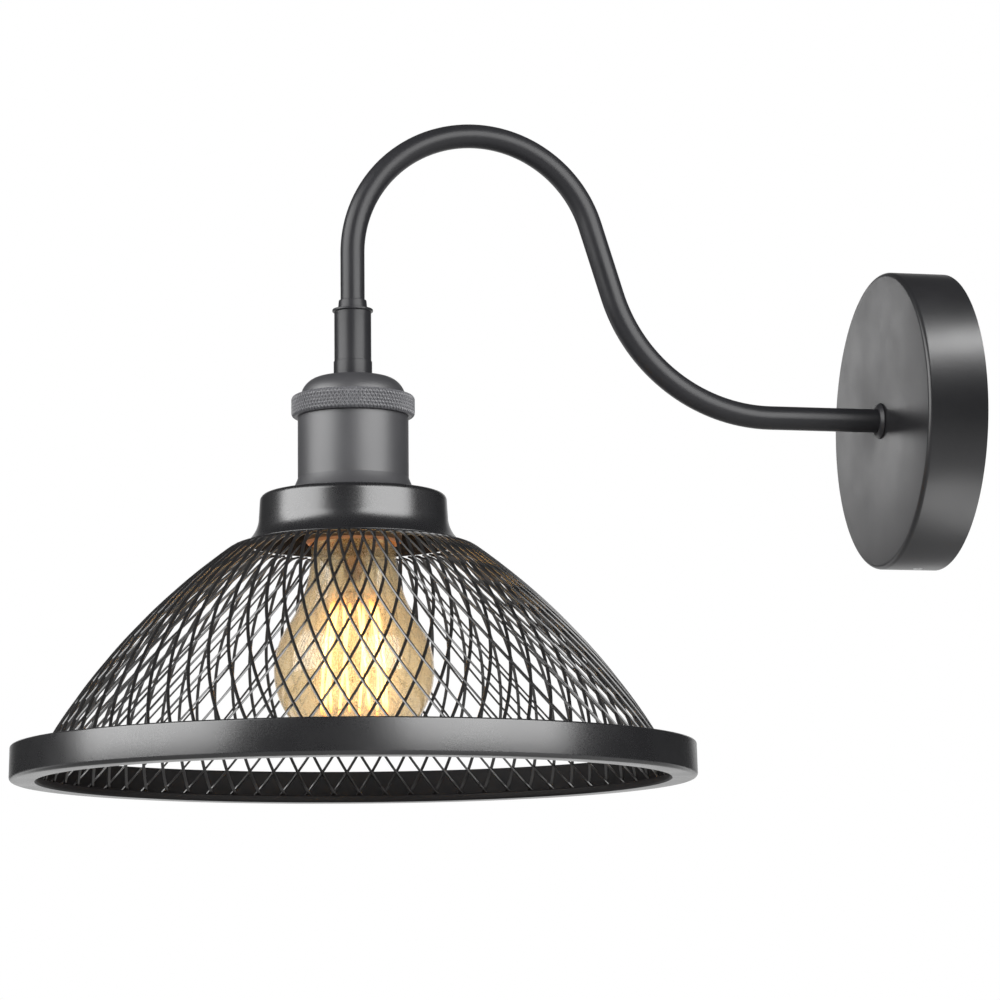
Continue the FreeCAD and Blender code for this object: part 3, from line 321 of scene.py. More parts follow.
def skinned(name, strips, sharp=35.0, capped=False):
    """A piece from strips of rings, each joined end to end or capped at both ends."""
    points, faces = [], []
    for rings in strips:
        skin(points, faces, rings, closed=not capped, capped=capped)
    return piece_from(name, points, faces, sharp)


def turned(name, outline, steps, on_wall=False, sharp=35.0, open_ends=False):
    """A turned piece. The outline is (radius, height) about the shade's line or, on the wall,
    (radius, distance out of the wall) about the line through the canopy."""
    rings = []
    for radius, up in outline:
        if on_wall:
            rings.append([(radius * MM * math.cos(a), -up * MM, radius * MM * math.sin(a))
                          for a in circle(steps)])
        else:
            rings.append([about(radius, a, up) for a in circle(steps)])
    if not open_ends:
        return skinned(name, [rings], sharp)
    # both ends of the outline lie on the axis: each is one point with a fan round it
    points, faces = [], []
    skin(points, faces, rings[1:-1])
    for ring, edge in ((rings[0], 0), (rings[-1], (len(rings) - 3) * steps)):
        pole = len(points)
        points.append(ring[0])
        faces += [(pole, edge + k, edge + (k + 1) % steps) for k in range(steps)]
    return piece_from(name, points, faces, sharp)


def wire_rings(path, radius, sides):
    """Round rings along a path, turned as little as possible from one to the next."""
    rings = []
    side = None
    for i, spot in enumerate(path):
        ahead = (path[min(i + 1, len(path) - 1)] - path[max(i - 1, 0)]).normalized()
        if side is None:
            side = ahead.orthogonal().normalized()
        side = (side - ahead * side.dot(ahead)).normalized()
        other = ahead.cross(side)
        rings.append([spot + (side * math.cos(a) + other * math.sin(a)) * radius for a in circle(sides)])
    return rings


def finished(piece, body, slot_name, *nodes, finish=None):
    """Seat a piece on its body, in place of its CAD nodes, with its slot's finish or one of its own."""
    piece.data.materials.clear()
    piece.data.materials.append(finish_for(finish or slot_name))
    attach(piece, body)
    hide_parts(*nodes)
    return piece


# ---- node trees

class Web:
    """Short words for building a node tree."""

    def __init__(self, tree):
        self.tree = tree

    def put(self, socket, value):
        """Link a value into a socket, or set the socket to it."""
        if isinstance(value, bpy.types.NodeSocket):
            self.tree.links.new(value, socket)
        else:
            socket.default_value = (*value[:3], 1.0) if hasattr(value, "__len__") else value

    def node(self, kind, inputs, **settings):
        made = self.tree.nodes.new(kind)
        for name, value in settings.items():
            setattr(made, name, value)
        for place, value in inputs.items():
            self.put(made.inputs[place], value)
        return made

    def maths(self, kind, first, second, clamp=False):
        return self.node("ShaderNodeMath", {0: first, 1: second}, operation=kind, use_clamp=clamp).outputs[0]

    def mixed(self, factor, first, second, mode="MIX"):
        """A mix of two colours."""
        return self.node("ShaderNodeMix", {0: factor, 6: first, 7: second}, data_type="RGBA",
                         blend_type=mode).outputs[2]

    def levels(self, factor, first, second):
        """A mix of two levels."""
        return self.node("ShaderNodeMix", {0: factor, 2: first, 3: second}).outputs[0]

    def noise(self, place, scale, detail=3.0, rough=0.55):
        return self.node("ShaderNodeTexNoise", {"Vector": place, "Scale": scale, "Detail": detail,
                                                "Roughness": rough}).outputs["Fac"]

    def spread(self, value, low, high, to_low=0.0, to_high=1.0):
        """Map a value smoothly from one range to another."""
        return self.node("ShaderNodeMapRange", {"Value": value, "From Min": low, "From Max": high,
                                                "To Min": to_low, "To Max": to_high},
                         interpolation_type="SMOOTHSTEP").outputs["Result"]

    def swing(self, value, amount):
        """A noise value as a swing about nought."""
        return self.maths("MULTIPLY", self.maths("SUBTRACT", value, 0.5), amount)

    def parted(self, place):
        return self.node("ShaderNodeSeparateXYZ", {0: place}).outputs

    def seen(self, paths):
        """One where the eye looks, also through glass."""
        return self.maths("ADD", paths["Is Camera Ray"], paths["Is Transmission Ray"], True)


def shader_group(name, inputs, outputs, build):
    """A shader group with named sockets, made once from the sockets that the build function gives."""
    known = bpy.data.node_groups.get(name)
    if known:
        return known
    kinds = {"Vector": "NodeSocketVector", "Color": "NodeSocketColor"}
    tree = bpy.data.node_groups.new(name, "ShaderNodeTree")
    tree.interface.new_socket("Vector", in_out="INPUT", socket_type=kinds["Vector"])
    for label, value in inputs.items():
        kind = kinds.get(label, "NodeSocketFloat")
        tree.interface.new_socket(label, in_out="INPUT", socket_type=kind).default_value = value
    for label in outputs:
        tree.interface.new_socket(label, in_out="OUTPUT", socket_type=kinds.get(label, "NodeSocketFloat"))
    made = build(Web(tree), tree.nodes.new("NodeGroupInput").outputs)
    sink = tree.nodes.new("NodeGroupOutput")
    for label, socket in zip(outputs, made):
        tree.links.new(socket, sink.inputs[label])
    return tree


def powder_group():
    """Fine grain of a baked paint: small shifts of colour and gloss, and an orange-peel height."""
    def build(web, given):
        place, colour = given["Vector"], given["Color"]
        fine = web.noise(place, 2600.0, 2.0)
        peel = web.noise(place, 700.0, 2.0)
        cloud = web.noise(place, 38.0, 4.0)
        shift = web.maths("ADD", web.swing(fine, given["Grain"]), web.swing(cloud, 0.5))
        pale = web.mixed(1.0, colour, (1.35, 1.35, 1.37), "MULTIPLY")
        deep = web.mixed(1.0, colour, (0.68, 0.68, 0.69), "MULTIPLY")
        rough = web.maths("ADD", given["Roughness"], web.swing(cloud, 0.16))
        return (web.mixed(web.maths("ADD", shift, 0.5, True), deep, pale),
                web.maths("ADD", rough, web.swing(fine, 0.08), True),
                web.maths("ADD", web.maths("MULTIPLY", fine, 0.4), web.maths("MULTIPLY", peel, 0.6)))

    return shader_group("Powder Grain", {"Color": (0.1, 0.1, 0.1, 1), "Roughness": 0.35, "Grain": 0.5},
                        ("Color", "Roughness", "Height"), build)


def wear_group():
    """Mask of rubbed edges, broken up by noise."""
    def build(web, given):
        bare = web.node("ShaderNodeNewGeometry", {}).outputs["Pointiness"]
        patch = web.noise(given["Vector"], 240.0, 4.0, 0.65)
        edge = web.spread(bare, given["Reach"], 0.72)
        broken = web.spread(patch, 0.42, 0.66, 0.15)
        return (web.maths("MULTIPLY", web.maths("MULTIPLY", edge, broken), given["Amount"], True),)

    return shader_group("Edge Rub", {"Reach": 0.55, "Amount": 0.5}, ("Mask",), build)


def lathe_group():
    """Fine lines that a tool leaves round a turned piece."""
    def build(web, given):
        apart = web.parted(given["Vector"])
        grown = {axis: web.maths("MULTIPLY", web.maths("MULTIPLY", apart[axis], factor), given["Fineness"])
                 for axis, factor in (("X", 12.0), ("Y", 12.0), ("Z", 3200.0))}
        joined = web.node("ShaderNodeCombineXYZ", grown).outputs[0]
        return web.noise(joined, 1.0, 2.0), web.noise(given["Vector"], 160.0)

    return shader_group("Turned Lines", {"Fineness": 1.0}, ("Line", "Cloud"), build)


# ---- finishes

class Coat(Web):
    """One material: its tree, its shader and the place on the surface."""

    def __init__(self, name, **values):
        self.material = bpy.data.materials.new(name)
        self.material.use_nodes = True
        super().__init__(self.material.node_tree)
        self.shader = self.tree.nodes["Principled BSDF"]
        self.place = self.node("ShaderNodeTexCoord", {}).outputs["Object"]
        for label, value in values.items():
            self.feed(label.replace("_", " "), value)

    def feed(self, label, value):
        self.put(self.shader.inputs[label], value)

    def add(self, group, **values):
        return self.node("ShaderNodeGroup", {"Vector": self.place, **values}, node_tree=group).outputs

    def emboss(self, socket, distance, strength=0.4):
        bump = {"Distance": distance, "Strength": strength, "Height": socket}
        self.feed("Normal", self.node("ShaderNodeBump", bump).outputs["Normal"])


def scaled(colour, factor):
    return tuple(min(c * factor, 1.0) for c in colour[:3])


def paint(name, colour, roughness, ior, rub, grain=0.5, rubbed=(0.09, 0.09, 0.095)):
    """Baked satin paint with grain, an orange-peel surface and rubbed edges."""
    coat = Coat(name, Metallic=0.0, IOR=ior)
    grained = coat.add(powder_group(), Color=colour, Roughness=roughness, Grain=grain)
    mask = coat.add(wear_group(), Amount=rub)["Mask"]
    coat.feed("Base Color", coat.mixed(mask, grained["Color"], rubbed))
    coat.feed("Roughness", grained["Roughness"])
    coat.emboss(grained["Height"], 0.00005, 0.35)
    return coat.material


def lit_ring_paint(name, colour, *settings):
    """The holder's finish painted lighter all over, a lit copy that paints in the ring's brighter highlights;
    its ridges are rubbed far paler, wear that also paints highlights on them.
    """
    return paint(name, scaled(colour, 2.5), *settings)


def metal(name, colour, roughness, lines=1.0):
    """Bare or plated metal with turning lines and dulled patches."""
    coat = Coat(name, Metallic=1.0)
    marks = coat.add(lathe_group(), Fineness=lines)
    dulled = coat.spread(marks["Cloud"], 0.42, 0.75, 0.0, 0.8)
    coat.feed("Base Color", coat.mixed(dulled, colour, scaled(colour, 0.55)))
    coat.feed("Roughness", coat.spread(marks["Line"], 0.3, 0.7, roughness - 0.06, roughness + 0.1))
    coat.emboss(marks["Line"], 0.00002)
    return coat.material


def moulded(name, colour, roughness, grain=900.0, spots=0.15):
    """Moulded plastic, glass or unglazed ceramic: fine grain and faint darker clouds."""
    coat = Coat(name)
    fine = coat.noise(coat.place, grain)
    cloud = coat.spread(coat.noise(coat.place, 60.0, 4.0), 0.35, 0.7)
    coat.feed("Base Color", coat.mixed(cloud, colour, scaled(colour, 1 - spots)))
    coat.feed("Roughness", coat.spread(fine, 0.3, 0.7, roughness - 0.07, roughness + 0.07))
    coat.emboss(fine, 0.00004)
    return coat.material


def blown_glass(name, colour, roughness):
    """Blown glass with a faint tide of colour and a fine haze of small rough spots."""
    coat = Coat(name, Metallic=0.0, Transmission_Weight=1.0, IOR=1.75)
    tide = coat.spread(coat.noise(coat.place, 22.0), 0.3, 0.7)
    coat.feed("Base Color", coat.mixed(tide, scaled(colour, 0.93), scaled(colour, 1.06)))
    coat.feed("Roughness", coat.spread(coat.noise(coat.place, 4000.0, 1.0), 0.55, 0.60, roughness, 0.5))
    return coat.material


def glowing(name, colour):
    """Filament: hottest along the middle of each run, redder at its ends."""
    coat = Coat(name, Roughness=0.6, Emission_Strength=bpy.context.scene.wall_light.bulb.glow)
    low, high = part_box("filament")
    tall = high.z - low.z
    up = coat.maths("SUBTRACT", coat.parted(coat.place)["Z"], (low.z + high.z) / 2)
    end = coat.spread(coat.maths("ABSOLUTE", up, 0.0), tall * 0.38, tall * 0.5)
    grain = coat.noise(coat.place, 1500.0, 2.0)
    red, green, blue = colour
    core = coat.mixed(coat.spread(grain, 0.35, 0.65), colour, (red, green * 1.15, blue * 1.3))
    coat.feed("Emission Color", coat.mixed(end, core, (red * 0.5, green * 0.25, blue * 0.15)))
    coat.feed("Base Color", coat.mixed(grain, (0.1, 0.05, 0.02), (0.3, 0.16, 0.06)))
    return coat.material


# each finish: the function that makes it, its colour or the name of the user's colour, and its settings
# (paint: roughness, ior, rub, grain, rubbed colour; metal: roughness, lines; moulded: roughness, grain,
# spots; blown glass: roughness)
FINISHES = {
    "canopy_paint": (paint, "canopy", 0.36, 1.6, 0.3),
    "arm_paint": (paint, "arm", 0.36, 1.45, 0.05),
    "holder_paint": (paint, "holder", 0.46, 1.78, 0.45, 0.35, (0.2, 0.2, 0.2)),
    # the ring: a lighter, lit copy of the holder's finish with very pale ridges, painted highlight as well as
    # wear
    "ring": (lit_ring_paint, "holder", 0.44, 1.95, 1.0, 0.35, (0.62, 0.62, 0.62)),
    "shade_paint": (paint, "shade", 0.28, 1.9, 0.3),
    # inside: darker, duller coat for the inward faces of collar and rim, painted shade
    "inside": (paint, (0.006, 0.006, 0.007), 0.6, 1.35, 0.1),
    "net": (paint, "net", 0.30, 1.9, 0.15),
    "zinc": (metal, "zinc", 0.34, 0.4),
    "steel": (metal, (0.5, 0.5, 0.51), 0.3),
    "brass": (metal, "brass", 0.28),
    # ceramic colour carries painted glow of the bulb as well as its own tone
    "ceramic": (moulded, "ceramic", 0.62, 1500.0, 0.1),
    "connector_plastic": (moulded, (0.78, 0.78, 0.75), 0.5),
    "lead_brown": (moulded, (0.2, 0.08, 0.035), 0.45),
    "lead_blue": (moulded, (0.04, 0.13, 0.4), 0.45),
    "black_glass": (moulded, (0.02, 0.02, 0.022), 0.16),
    "amber_glass": (blown_glass, "glass", 0.0),
    "stem_glass": (blown_glass, (0.96, 0.9, 0.8), 0.04),
    "filament_wire": (glowing, "filament"),
}


def finish_for(finish):
    """The material of one finish, made once."""
    name = "finish " + finish
    known = bpy.data.materials.get(name)
    if known:
        return known
    make, colour, *settings = FINISHES[finish]
    if isinstance(colour, str):
        colour = getattr(bpy.context.scene.wall_light.finish, colour)
    return make(name, colour, *settings)


def shaded_inside(piece):
    """Give the faces that look at the shade's line a thin, dull coat, darker than the outer one: painted
    shade inside the shade.
    """
    piece.data.materials.append(finish_for("inside"))
    for face in piece.data.polygons:
        outward = Vector((face.center.x, face.center.y - SHADE_LINE, 0)).normalized()
        if face.normal.dot(outward) < -0.15:  # flat faces keep the outer coat
            face.material_index = 1


# ---- wall end and arm

def drill_sides(cup, radius, setback):
    """Cut one hole up and down through the cup's side, for both side screws."""
    long, middle = 70.0, 0.01
    drill = turned("canopy_drill", [(radius, -long), (radius, long), (middle, long), (middle, -long)], 48)
    drill.data.transform(Matrix.Translation((0, -SHADE_LINE - setback, 0)))
    cutter = cup.modifiers.new("Side Holes", "BOOLEAN")
    cutter.object = drill
    cutter.operation = "DIFFERENCE"
    cutter.solver = "EXACT"
    cut = bpy.data.meshes.new_from_object(cup.evaluated_get(bpy.context.evaluated_depsgraph_get()))
    cup.modifiers.clear()
    cup.data = cut
    cup.data.set_sharp_from_angle(angle=math.radians(35))
    bpy.data.objects.remove(drill)


class WALLLIGHT_OT_canopy(bpy.types.Operator):
    """Spun cup with a rounded edge, two screw holes and the flared washer round the arm"""
    bl_idname = "wall_light.canopy"
    bl_label = "Canopy"

    def execute(self, context):
        sizes = context.scene.wall_light.canopy
        mm = Millimetres(sizes)
        half, deep, sheet, edge = mm.diameter / 2, mm.depth, mm.wall, mm.edge
        bore = context.scene.wall_light.arm.diameter / MM / 2 + 2 * FIT
        face = softened((half, 0.0, 0.25), (half, deep - edge), ("left", edge, 8), (half - edge, deep),
                        (bore, deep, 0.2), (bore, deep - sheet, 0.2), (half - sheet, deep - sheet, 0.5),
                        (half - sheet, 0.0, 0.25))
        cup = turned("canopy_cup_spun", face, 224, on_wall=True)
        drill_sides(cup, mm.screw_hole / 2, sizes.screw_setback)
        finished(cup, "light", "canopy_paint", "canopy_cup")
        flagged("off floor and canopy", cup, "EXCLUDE")
        flagged("canopy only", cup, "INCLUDE")
        flagged("canopy and floor", cup, "INCLUDE")

        back, wide, thick, slope = deep + FIT, mm.washer / 2, mm.washer_thick, 1.4
        flange = softened((bore, back), (wide, back, 0.15), (wide, back + thick * 0.3, 0.3),
                          (wide - slope, back + thick, 0.4), (bore, back + thick, 0.15))
        finished(turned("arm_washer_turned", flange, 96, on_wall=True), "light", "arm_paint", "arm_washer")
        return {"FINISHED"}


def arm_line(sizes, step=2.0):
    """The tube's line from inside the canopy to the coupler, as points a few degrees apart."""
    reach, arch, sweep, droop = sizes.reach, sizes.arch, sizes.sweep, sizes.droop
    spring = sizes.top - arch
    arch_centre = Vector((0, -reach + arch, spring))
    leave = arch_centre + Vector((0, math.sin(droop), math.cos(droop))) * arch
    fall = leave.z - sweep * (1 - math.cos(droop))
    join = leave + Vector((0, math.cos(droop), -math.sin(droop))) * (fall / math.sin(droop))
    sweep_centre = Vector((0, join.y + sweep * math.sin(droop), sweep))
    run = abs(sweep_centre.y) - sizes.tail
    path = [Vector((0, -sizes.tail - run * k / 4, 0)) for k in range(4)]
    count = int(math.degrees(droop) / step)
    for k in range(count + 1):
        a = droop * k / count
        path.append(sweep_centre + Vector((0, -math.sin(a), -math.cos(a))) * sweep)
    path += [join.lerp(leave, k / 4) for k in range(1, 4)]
    turn = math.pi / 2 + droop
    count = int(math.degrees(turn) / step)
    for k in range(count + 1):
        a = math.pi / 2 - droop + turn * k / count
        path.append(arch_centre + Vector((0, math.cos(a), math.sin(a))) * arch)
    low = Vector((0, -reach, sizes.seat))
    return path + [Vector((0, -reach, spring)).lerp(low, k / 3) for k in range(1, 4)]


class WALLLIGHT_OT_arm(bpy.types.Operator):
    """Bent tube with its bore, from the canopy to the coupler"""
    bl_idname = "wall_light.arm"
    bl_label = "Arm"

    def execute(self, context):
        sizes = context.scene.wall_light.arm
        path, half, sides = arm_line(sizes), sizes.diameter / 2, 48
        outer = wire_rings(path, half, sides)
        inner = wire_rings(path, half - sizes.wall, sides)
        finished(skinned("arm_tube_bent", [outer + inner[::-1]]), "light", "arm_paint", "arm_tube")
        return {"FINISHED"}


# ---- lamp holder

class WALLLIGHT_OT_holder(bpy.types.Operator):
    """Coupler with its lip, domed cap and plain shell with a flared foot"""
    bl_idname = "wall_light.holder"
    bl_label = "Lamp Holder"

    def execute(self, context):
        sizes = context.scene.wall_light.holder
        mm, arm = Millimetres(sizes), Millimetres(context.scene.wall_light.arm)
        tube, seat, lip, top = arm.diameter / 2, arm.seat, mm.lip, mm.cap_top
        lip_half, barrel, heel, heel_top = mm.lip_diameter / 2, mm.barrel / 2, mm.heel / 2, mm.heel_top
        cone, under = (sizes.lip + sizes.cone) / MM, lip - 1.0
        bore, sheet = 5.05, 1.0
        coupler = softened(
            (tube + FIT, seat), (tube + FIT, cone, 0.2), (tube + 0.7, cone, 0.25), (5.8, lip, 0.3),
            (lip_half, lip, 0.3), (lip_half, under, 0.3), (barrel, under, 0.25), (barrel, heel_top, 0.15),
            (heel, heel_top, 0.15), (heel, top + FIT, 0.3), (bore, top + FIT), (bore, seat - FIT),
            (tube - sheet, seat - FIT), (tube - sheet, seat))
        finished(turned("coupler_turned", coupler, 128), "light", "arm_paint", "coupler_sleeve")

        half, curve = mm.cap / 2, mm.cap_round
        inner, crown, spring = half - sheet, half - curve, top - curve
        ring_foot = (sizes.ring_middle - sizes.ring_height / 2) / MM
        hem = ring_foot + 2.0
        cap = softened(
            (bore, top, 0.2), (crown, top), ("right", curve, 14), (half, spring), (half, hem, 0.2),
            (inner, hem, 0.2), (inner, spring), ("left", curve - sheet, 14), (crown, top - sheet),
            (bore, top - sheet, 0.2))
        finished(turned("cap_spun", cap, 192), "light", "holder_paint", "socket_cap")

        half, foot, wide, flare = mm.shell / 2, mm.foot, mm.foot_diameter / 2, mm.flare
        inner, head = half - 1.2, ring_foot - FIT
        shell = softened(
            (inner, head, 0.2), (half, head, 0.3), (half, foot + flare), ("left", flare * 4, 8),
            (wide, foot + 0.6), (wide, foot, 0.2), (inner, foot, 0.2))
        finished(turned("shell_drawn", shell, 192, sharp=12.0), "light", "holder_paint", "socket_shell")
        return {"FINISHED"}


class WALLLIGHT_OT_ring(bpy.types.Operator):
    """Ring with a diamond knurl cut into it"""
    bl_idname = "wall_light.ring"
    bl_label = "Knurled Ring"

    def execute(self, context):
        sizes = context.scene.wall_light.holder
        half, tall, edge = sizes.ring / 2, sizes.ring_height / 2, sizes.ring_round
        inner, land = sizes.cap / 2 + FIT * MM, half - edge - 0.5 * MM
        fine, rows, round_rows = 10, 44, 8  # points to a ridge, rows up the band and up each edge
        flat, slope = 0.12, 0.42  # shares of a ridge that stay flat and that fall to the pit
        # each row is (radius, height, share of its full depth that the knurl is cut to)
        outline = [(inner, tall, 0.0), (land, tall, 0.0)]
        for k in range(round_rows + 1):
            a = math.pi / 2 * k / round_rows
            outline.append((half - edge + edge * math.sin(a), tall - edge + edge * math.cos(a),
                            min(1.0, k / 4)))
        outline += [(half, tall - edge - (2 * tall - 2 * edge) * k / rows, 1.0) for k in range(1, rows)]
        for k in range(round_rows + 1):
            a = math.pi / 2 * k / round_rows
            outline.append((half - edge + edge * math.cos(a), -tall + edge - edge * math.sin(a),
                            min(1.0, (round_rows - k) / 4)))
        outline += [(land, -tall, 0.0), (inner, -tall, 0.0)]
        rings = []
        for radius, up, cut in outline:
            ring = []
            for k, a in enumerate(circle(sizes.knurls * fine)):
                around, across = k / fine, up / (2 * tall) * sizes.knurl_rows
                one = abs((around + across) % 1.0 - 0.5) * 2
                two = abs((around - across) % 1.0 - 0.5) * 2
                pit = min(1.0, max(0.0, (min(one, two) - flat) / slope))
                reach = radius - sizes.knurl_depth * cut * pit
                ring.append((reach * math.cos(a), SHADE_LINE + reach * math.sin(a), sizes.ring_middle + up))
            rings.append(ring)
        made = skinned("ring_knurled", [rings], 50.0)
        # the knurled ring takes the lighter, lit copy of the holder's finish: painted highlight
        finished(made, "light", "holder_paint", "knurled_ring", finish="ring")
        return {"FINISHED"}


THREAD_STEPS = 96


def threaded_rings(radius, wall, top, foot, turns, depth, inward):
    """Rings of a thin sleeve rolled into a round thread, between two heights in mm."""
    rows = int(turns * 12)
    outer, inner = [], []
    for i in range(rows + 1):
        up = top + (foot - top) * i / rows
        fade = min(1.0, i / 6, (rows - i) / 6)
        for rings, shift in ((outer, 0.0), (inner, -wall)):
            ring = []
            for a in circle(THREAD_STEPS):
                wave = 0.5 - 0.5 * math.cos(2 * math.pi * (turns * i / rows) + a)
                cut = depth * (wave if inward else 1 - wave) * fade
                ring.append(about(radius + shift - cut, a, up))
            rings.append(ring)
    return outer + inner[::-1]


class WALLLIGHT_OT_threads(bpy.types.Operator):
    """Rolled thread of the lamp holder and of the bulb's cap"""
    bl_idname = "wall_light.threads"
    bl_label = "Threads"

    def execute(self, context):
        wall, pitch, shoulder_height = 0.35, 3.6, 1.4
        for name, node, body, depth, inward in (
                ("lamp_thread_rolled", "lamp_thread", "light", 0.14, True),
                ("bulb_cap_rolled", "bulb_cap", "bulb", 0.75, False)):
            low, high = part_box(node)
            radius, top, foot = (high.x - low.x) / 2 / MM, high.z / MM, low.z / MM
            shoulder = []
            if not inward:
                top -= shoulder_height
                shoulder = [[[about(radius - inset, a, top + rise) for a in circle(THREAD_STEPS)]
                             for inset, rise in ((0.05, 0.0), (0.4, 0.7), (1.4, shoulder_height),
                                                 (1.8, shoulder_height), (0.8, 0.5), (0.45, 0.0))]]
            thread = threaded_rings(radius, wall, top, foot, (top - foot) / pitch, depth, inward)
            finished(skinned(name, [thread] + shoulder, 60.0), body, "brass", node)
        return {"FINISHED"}


# ---- shade

class WALLLIGHT_OT_collar(bpy.types.Operator):
    """Spun collar: flat top, rounded shoulder, wall and flared foot"""
    bl_idname = "wall_light.collar"
    bl_label = "Collar"

    def execute(self, context):
        mm = Millimetres(context.scene.wall_light.shade)
        hole, sheet = 18.9, 1.0
        top, waist, foot, turn, flare = mm.collar_top, mm.collar_waist, mm.collar_foot, mm.shoulder, mm.flare
        half, wide, neck = mm.collar / 2, mm.collar_foot_diameter / 2, mm.waist_diameter / 2
        outline = softened(
            (hole, top, 0.2), (half - turn, top), ("right", turn, 10), (half, top - turn), (neck, waist),
            ("left", flare, 14), (wide, foot + 0.6, 0.2), (wide - 0.3, foot, 0.2), (wide - sheet, foot),
            ("right", flare + sheet, 14), (neck - sheet, waist - 0.3), (half - sheet, top - turn),
            ("left", turn - sheet, 10), (half - turn, top - sheet), (hole, top - sheet, 0.2))
        shaded_inside(finished(turned("collar_spun", outline, 224), "light", "shade_paint", "shade_collar"))
        return {"FINISHED"}


class WALLLIGHT_OT_rim(bpy.types.Operator):
    """Rolled rim with its flange turned inward and a hem turned up"""
    bl_idname = "wall_light.rim"
    bl_label = "Rim"

    def execute(self, context):
        mm = Millimetres(context.scene.wall_light.shade)
        half, foot, wall, curve, lean, edge = mm.rim / 2, mm.rim_foot, 1.2, 1.6, 0.25, 0.6
        crest, hem = foot + mm.rim_height, foot + 2.6
        brow, opening = half - lean, half - mm.rim_flange
        outline = softened(
            (half - curve, foot), ("left", curve, 6), (half, foot + curve), (brow, crest - wall / 2, 0.3),
            (brow - wall / 2, crest, 0.3), (brow - wall, crest - wall / 2, 0.3),
            (half - wall, foot + curve, 0.2), (half - curve, foot + wall), (opening + wall, foot + wall, 0.2),
            (opening + wall, hem, 0.2), (opening + wall / 2, hem + wall / 3, 0.25), (opening, hem, 0.25),
            (opening, foot + edge, 0.3), (opening + edge, foot, 0.3))
        shaded_inside(finished(turned("rim_rolled", outline, 320), "light", "shade_paint", "rim_ring"))
        return {"FINISHED"}


def net_line(sizes, count):
    """Stations down the net's line, as (point, outward direction, part of the way), in mm.

    The line starts flat under the collar's foot, turns over a soft shoulder and follows one arc to the rim.
    """
    mm = Millimetres(sizes)
    edge, bulge = mm.collar_foot_diameter / 2, mm.bulge
    top = mm.collar_foot - mm.strand_thick - 0.075
    start = Vector((edge - 0.6, top))
    shoulder = Vector((edge + 3.9, top - 0.12))
    hem = (sizes.rim / 2 - sizes.rim_flange) / MM + 1.2
    end = Vector((hem + 1.45, mm.rim_foot + 1.8))
    chord = end - shoulder
    radius = (chord.length_squared / 4 + bulge ** 2) / (2 * bulge)
    outward = Vector((-chord.y, chord.x)).normalized()
    centre = shoulder + chord / 2 - outward * (radius - bulge)
    half_turn = math.asin(chord.length / 2 / radius)
    facing = math.atan2(outward.y, outward.x)
    flat = (shoulder - start).length
    all_of_it = flat + 2 * half_turn * radius

    def at(walked):
        if walked < flat:
            return start.lerp(shoulder, max(walked, 0.0) / flat)
        a = facing + half_turn - (walked - flat) / radius
        return centre + Vector((math.cos(a), math.sin(a))) * radius

    def eased(walked, reach=3.2):
        if abs(walked - flat) >= reach:
            return at(walked)
        share = (walked - flat + reach) / (2 * reach)
        return (at(flat - reach) * (1 - share) ** 2 + shoulder * 2 * share * (1 - share)
                + at(flat + reach) * share ** 2)

    stations = []
    for i in range(count + 1):
        walked = all_of_it * i / count
        ahead = (eased(min(walked + 0.5, all_of_it)) - eased(max(walked - 0.5, 0.0))).normalized()
        stations.append((eased(walked), Vector((-ahead.y, ahead.x)), i / count))
    return stations


def strand_rings(line, sizes, section, hand):
    """Rings of one strand that leans one way over the dome, in mm about the shade's line."""
    pitch = 2 * math.pi / sizes.strands
    lift = hand * 0.3  # the two layers stand a little off the net's line, one out and one in
    spots, outs = [], []
    for point, out, share in line:
        rows = sizes.row_start + sizes.row_count * share * (1 - sizes.row_bend * (1 - share))
        turn = hand * rows * pitch / 2 + sizes.net_turn
        for found, flat in ((spots, point + out * lift), (outs, out)):
            found.append(Vector((flat.x * math.cos(turn), flat.x * math.sin(turn), flat.y)))
    rings, last = [], len(spots) - 1
    for i, spot in enumerate(spots):
        ahead = (spots[min(i + 1, last)] - spots[max(i - 1, 0)]).normalized()
        out = (outs[i] - ahead * outs[i].dot(ahead)).normalized()
        across = ahead.cross(out)
        lean = hand * sizes.twist * min(1.0, i / 4, (last - i) / 4)
        side = across * math.cos(lean) + out * math.sin(lean)
        face = out * math.cos(lean) - across * math.sin(lean)
        rings.append([spot + side * a + face * b for a, b in section])
    return rings


class WALLLIGHT_OT_net(bpy.types.Operator):
    """Net of straight strands that lean both ways over the dome and are joined where they meet"""
    bl_idname = "wall_light.net"
    bl_label = "Net"

    def execute(self, context):
        sizes = context.scene.wall_light.shade
        mm = Millimetres(sizes)
        line = net_line(sizes, 64)
        wide, thick = mm.strand_width / 2, mm.strand_thick / 2
        # a flat strip with its four edges broken
        section = [(-wide, -thick * 0.7), (-wide * 0.8, -thick), (wide * 0.8, -thick), (wide, -thick * 0.7)]
        section += [(-a, -b) for a, b in section]
        pitch = 2 * math.pi / sizes.strands
        spins = [Matrix.Rotation(pitch * k, 3, "Z") for k in range(sizes.strands)]
        middle = Vector((0, SHADE_LINE, 0))
        for name, node, hand in (("net_outer", "outer_strands", 1), ("net_inner", "inner_strands", -1)):
            one = strand_rings(line, sizes, section, hand)
            strands = [[[(spin @ p) * MM + middle for p in ring] for ring in one] for spin in spins]
            net = skinned(name, strands, 40.0, capped=True)
            finished(net, "light", "shade_paint", node, finish="net")
        return {"FINISHED"}


# ---- bulb

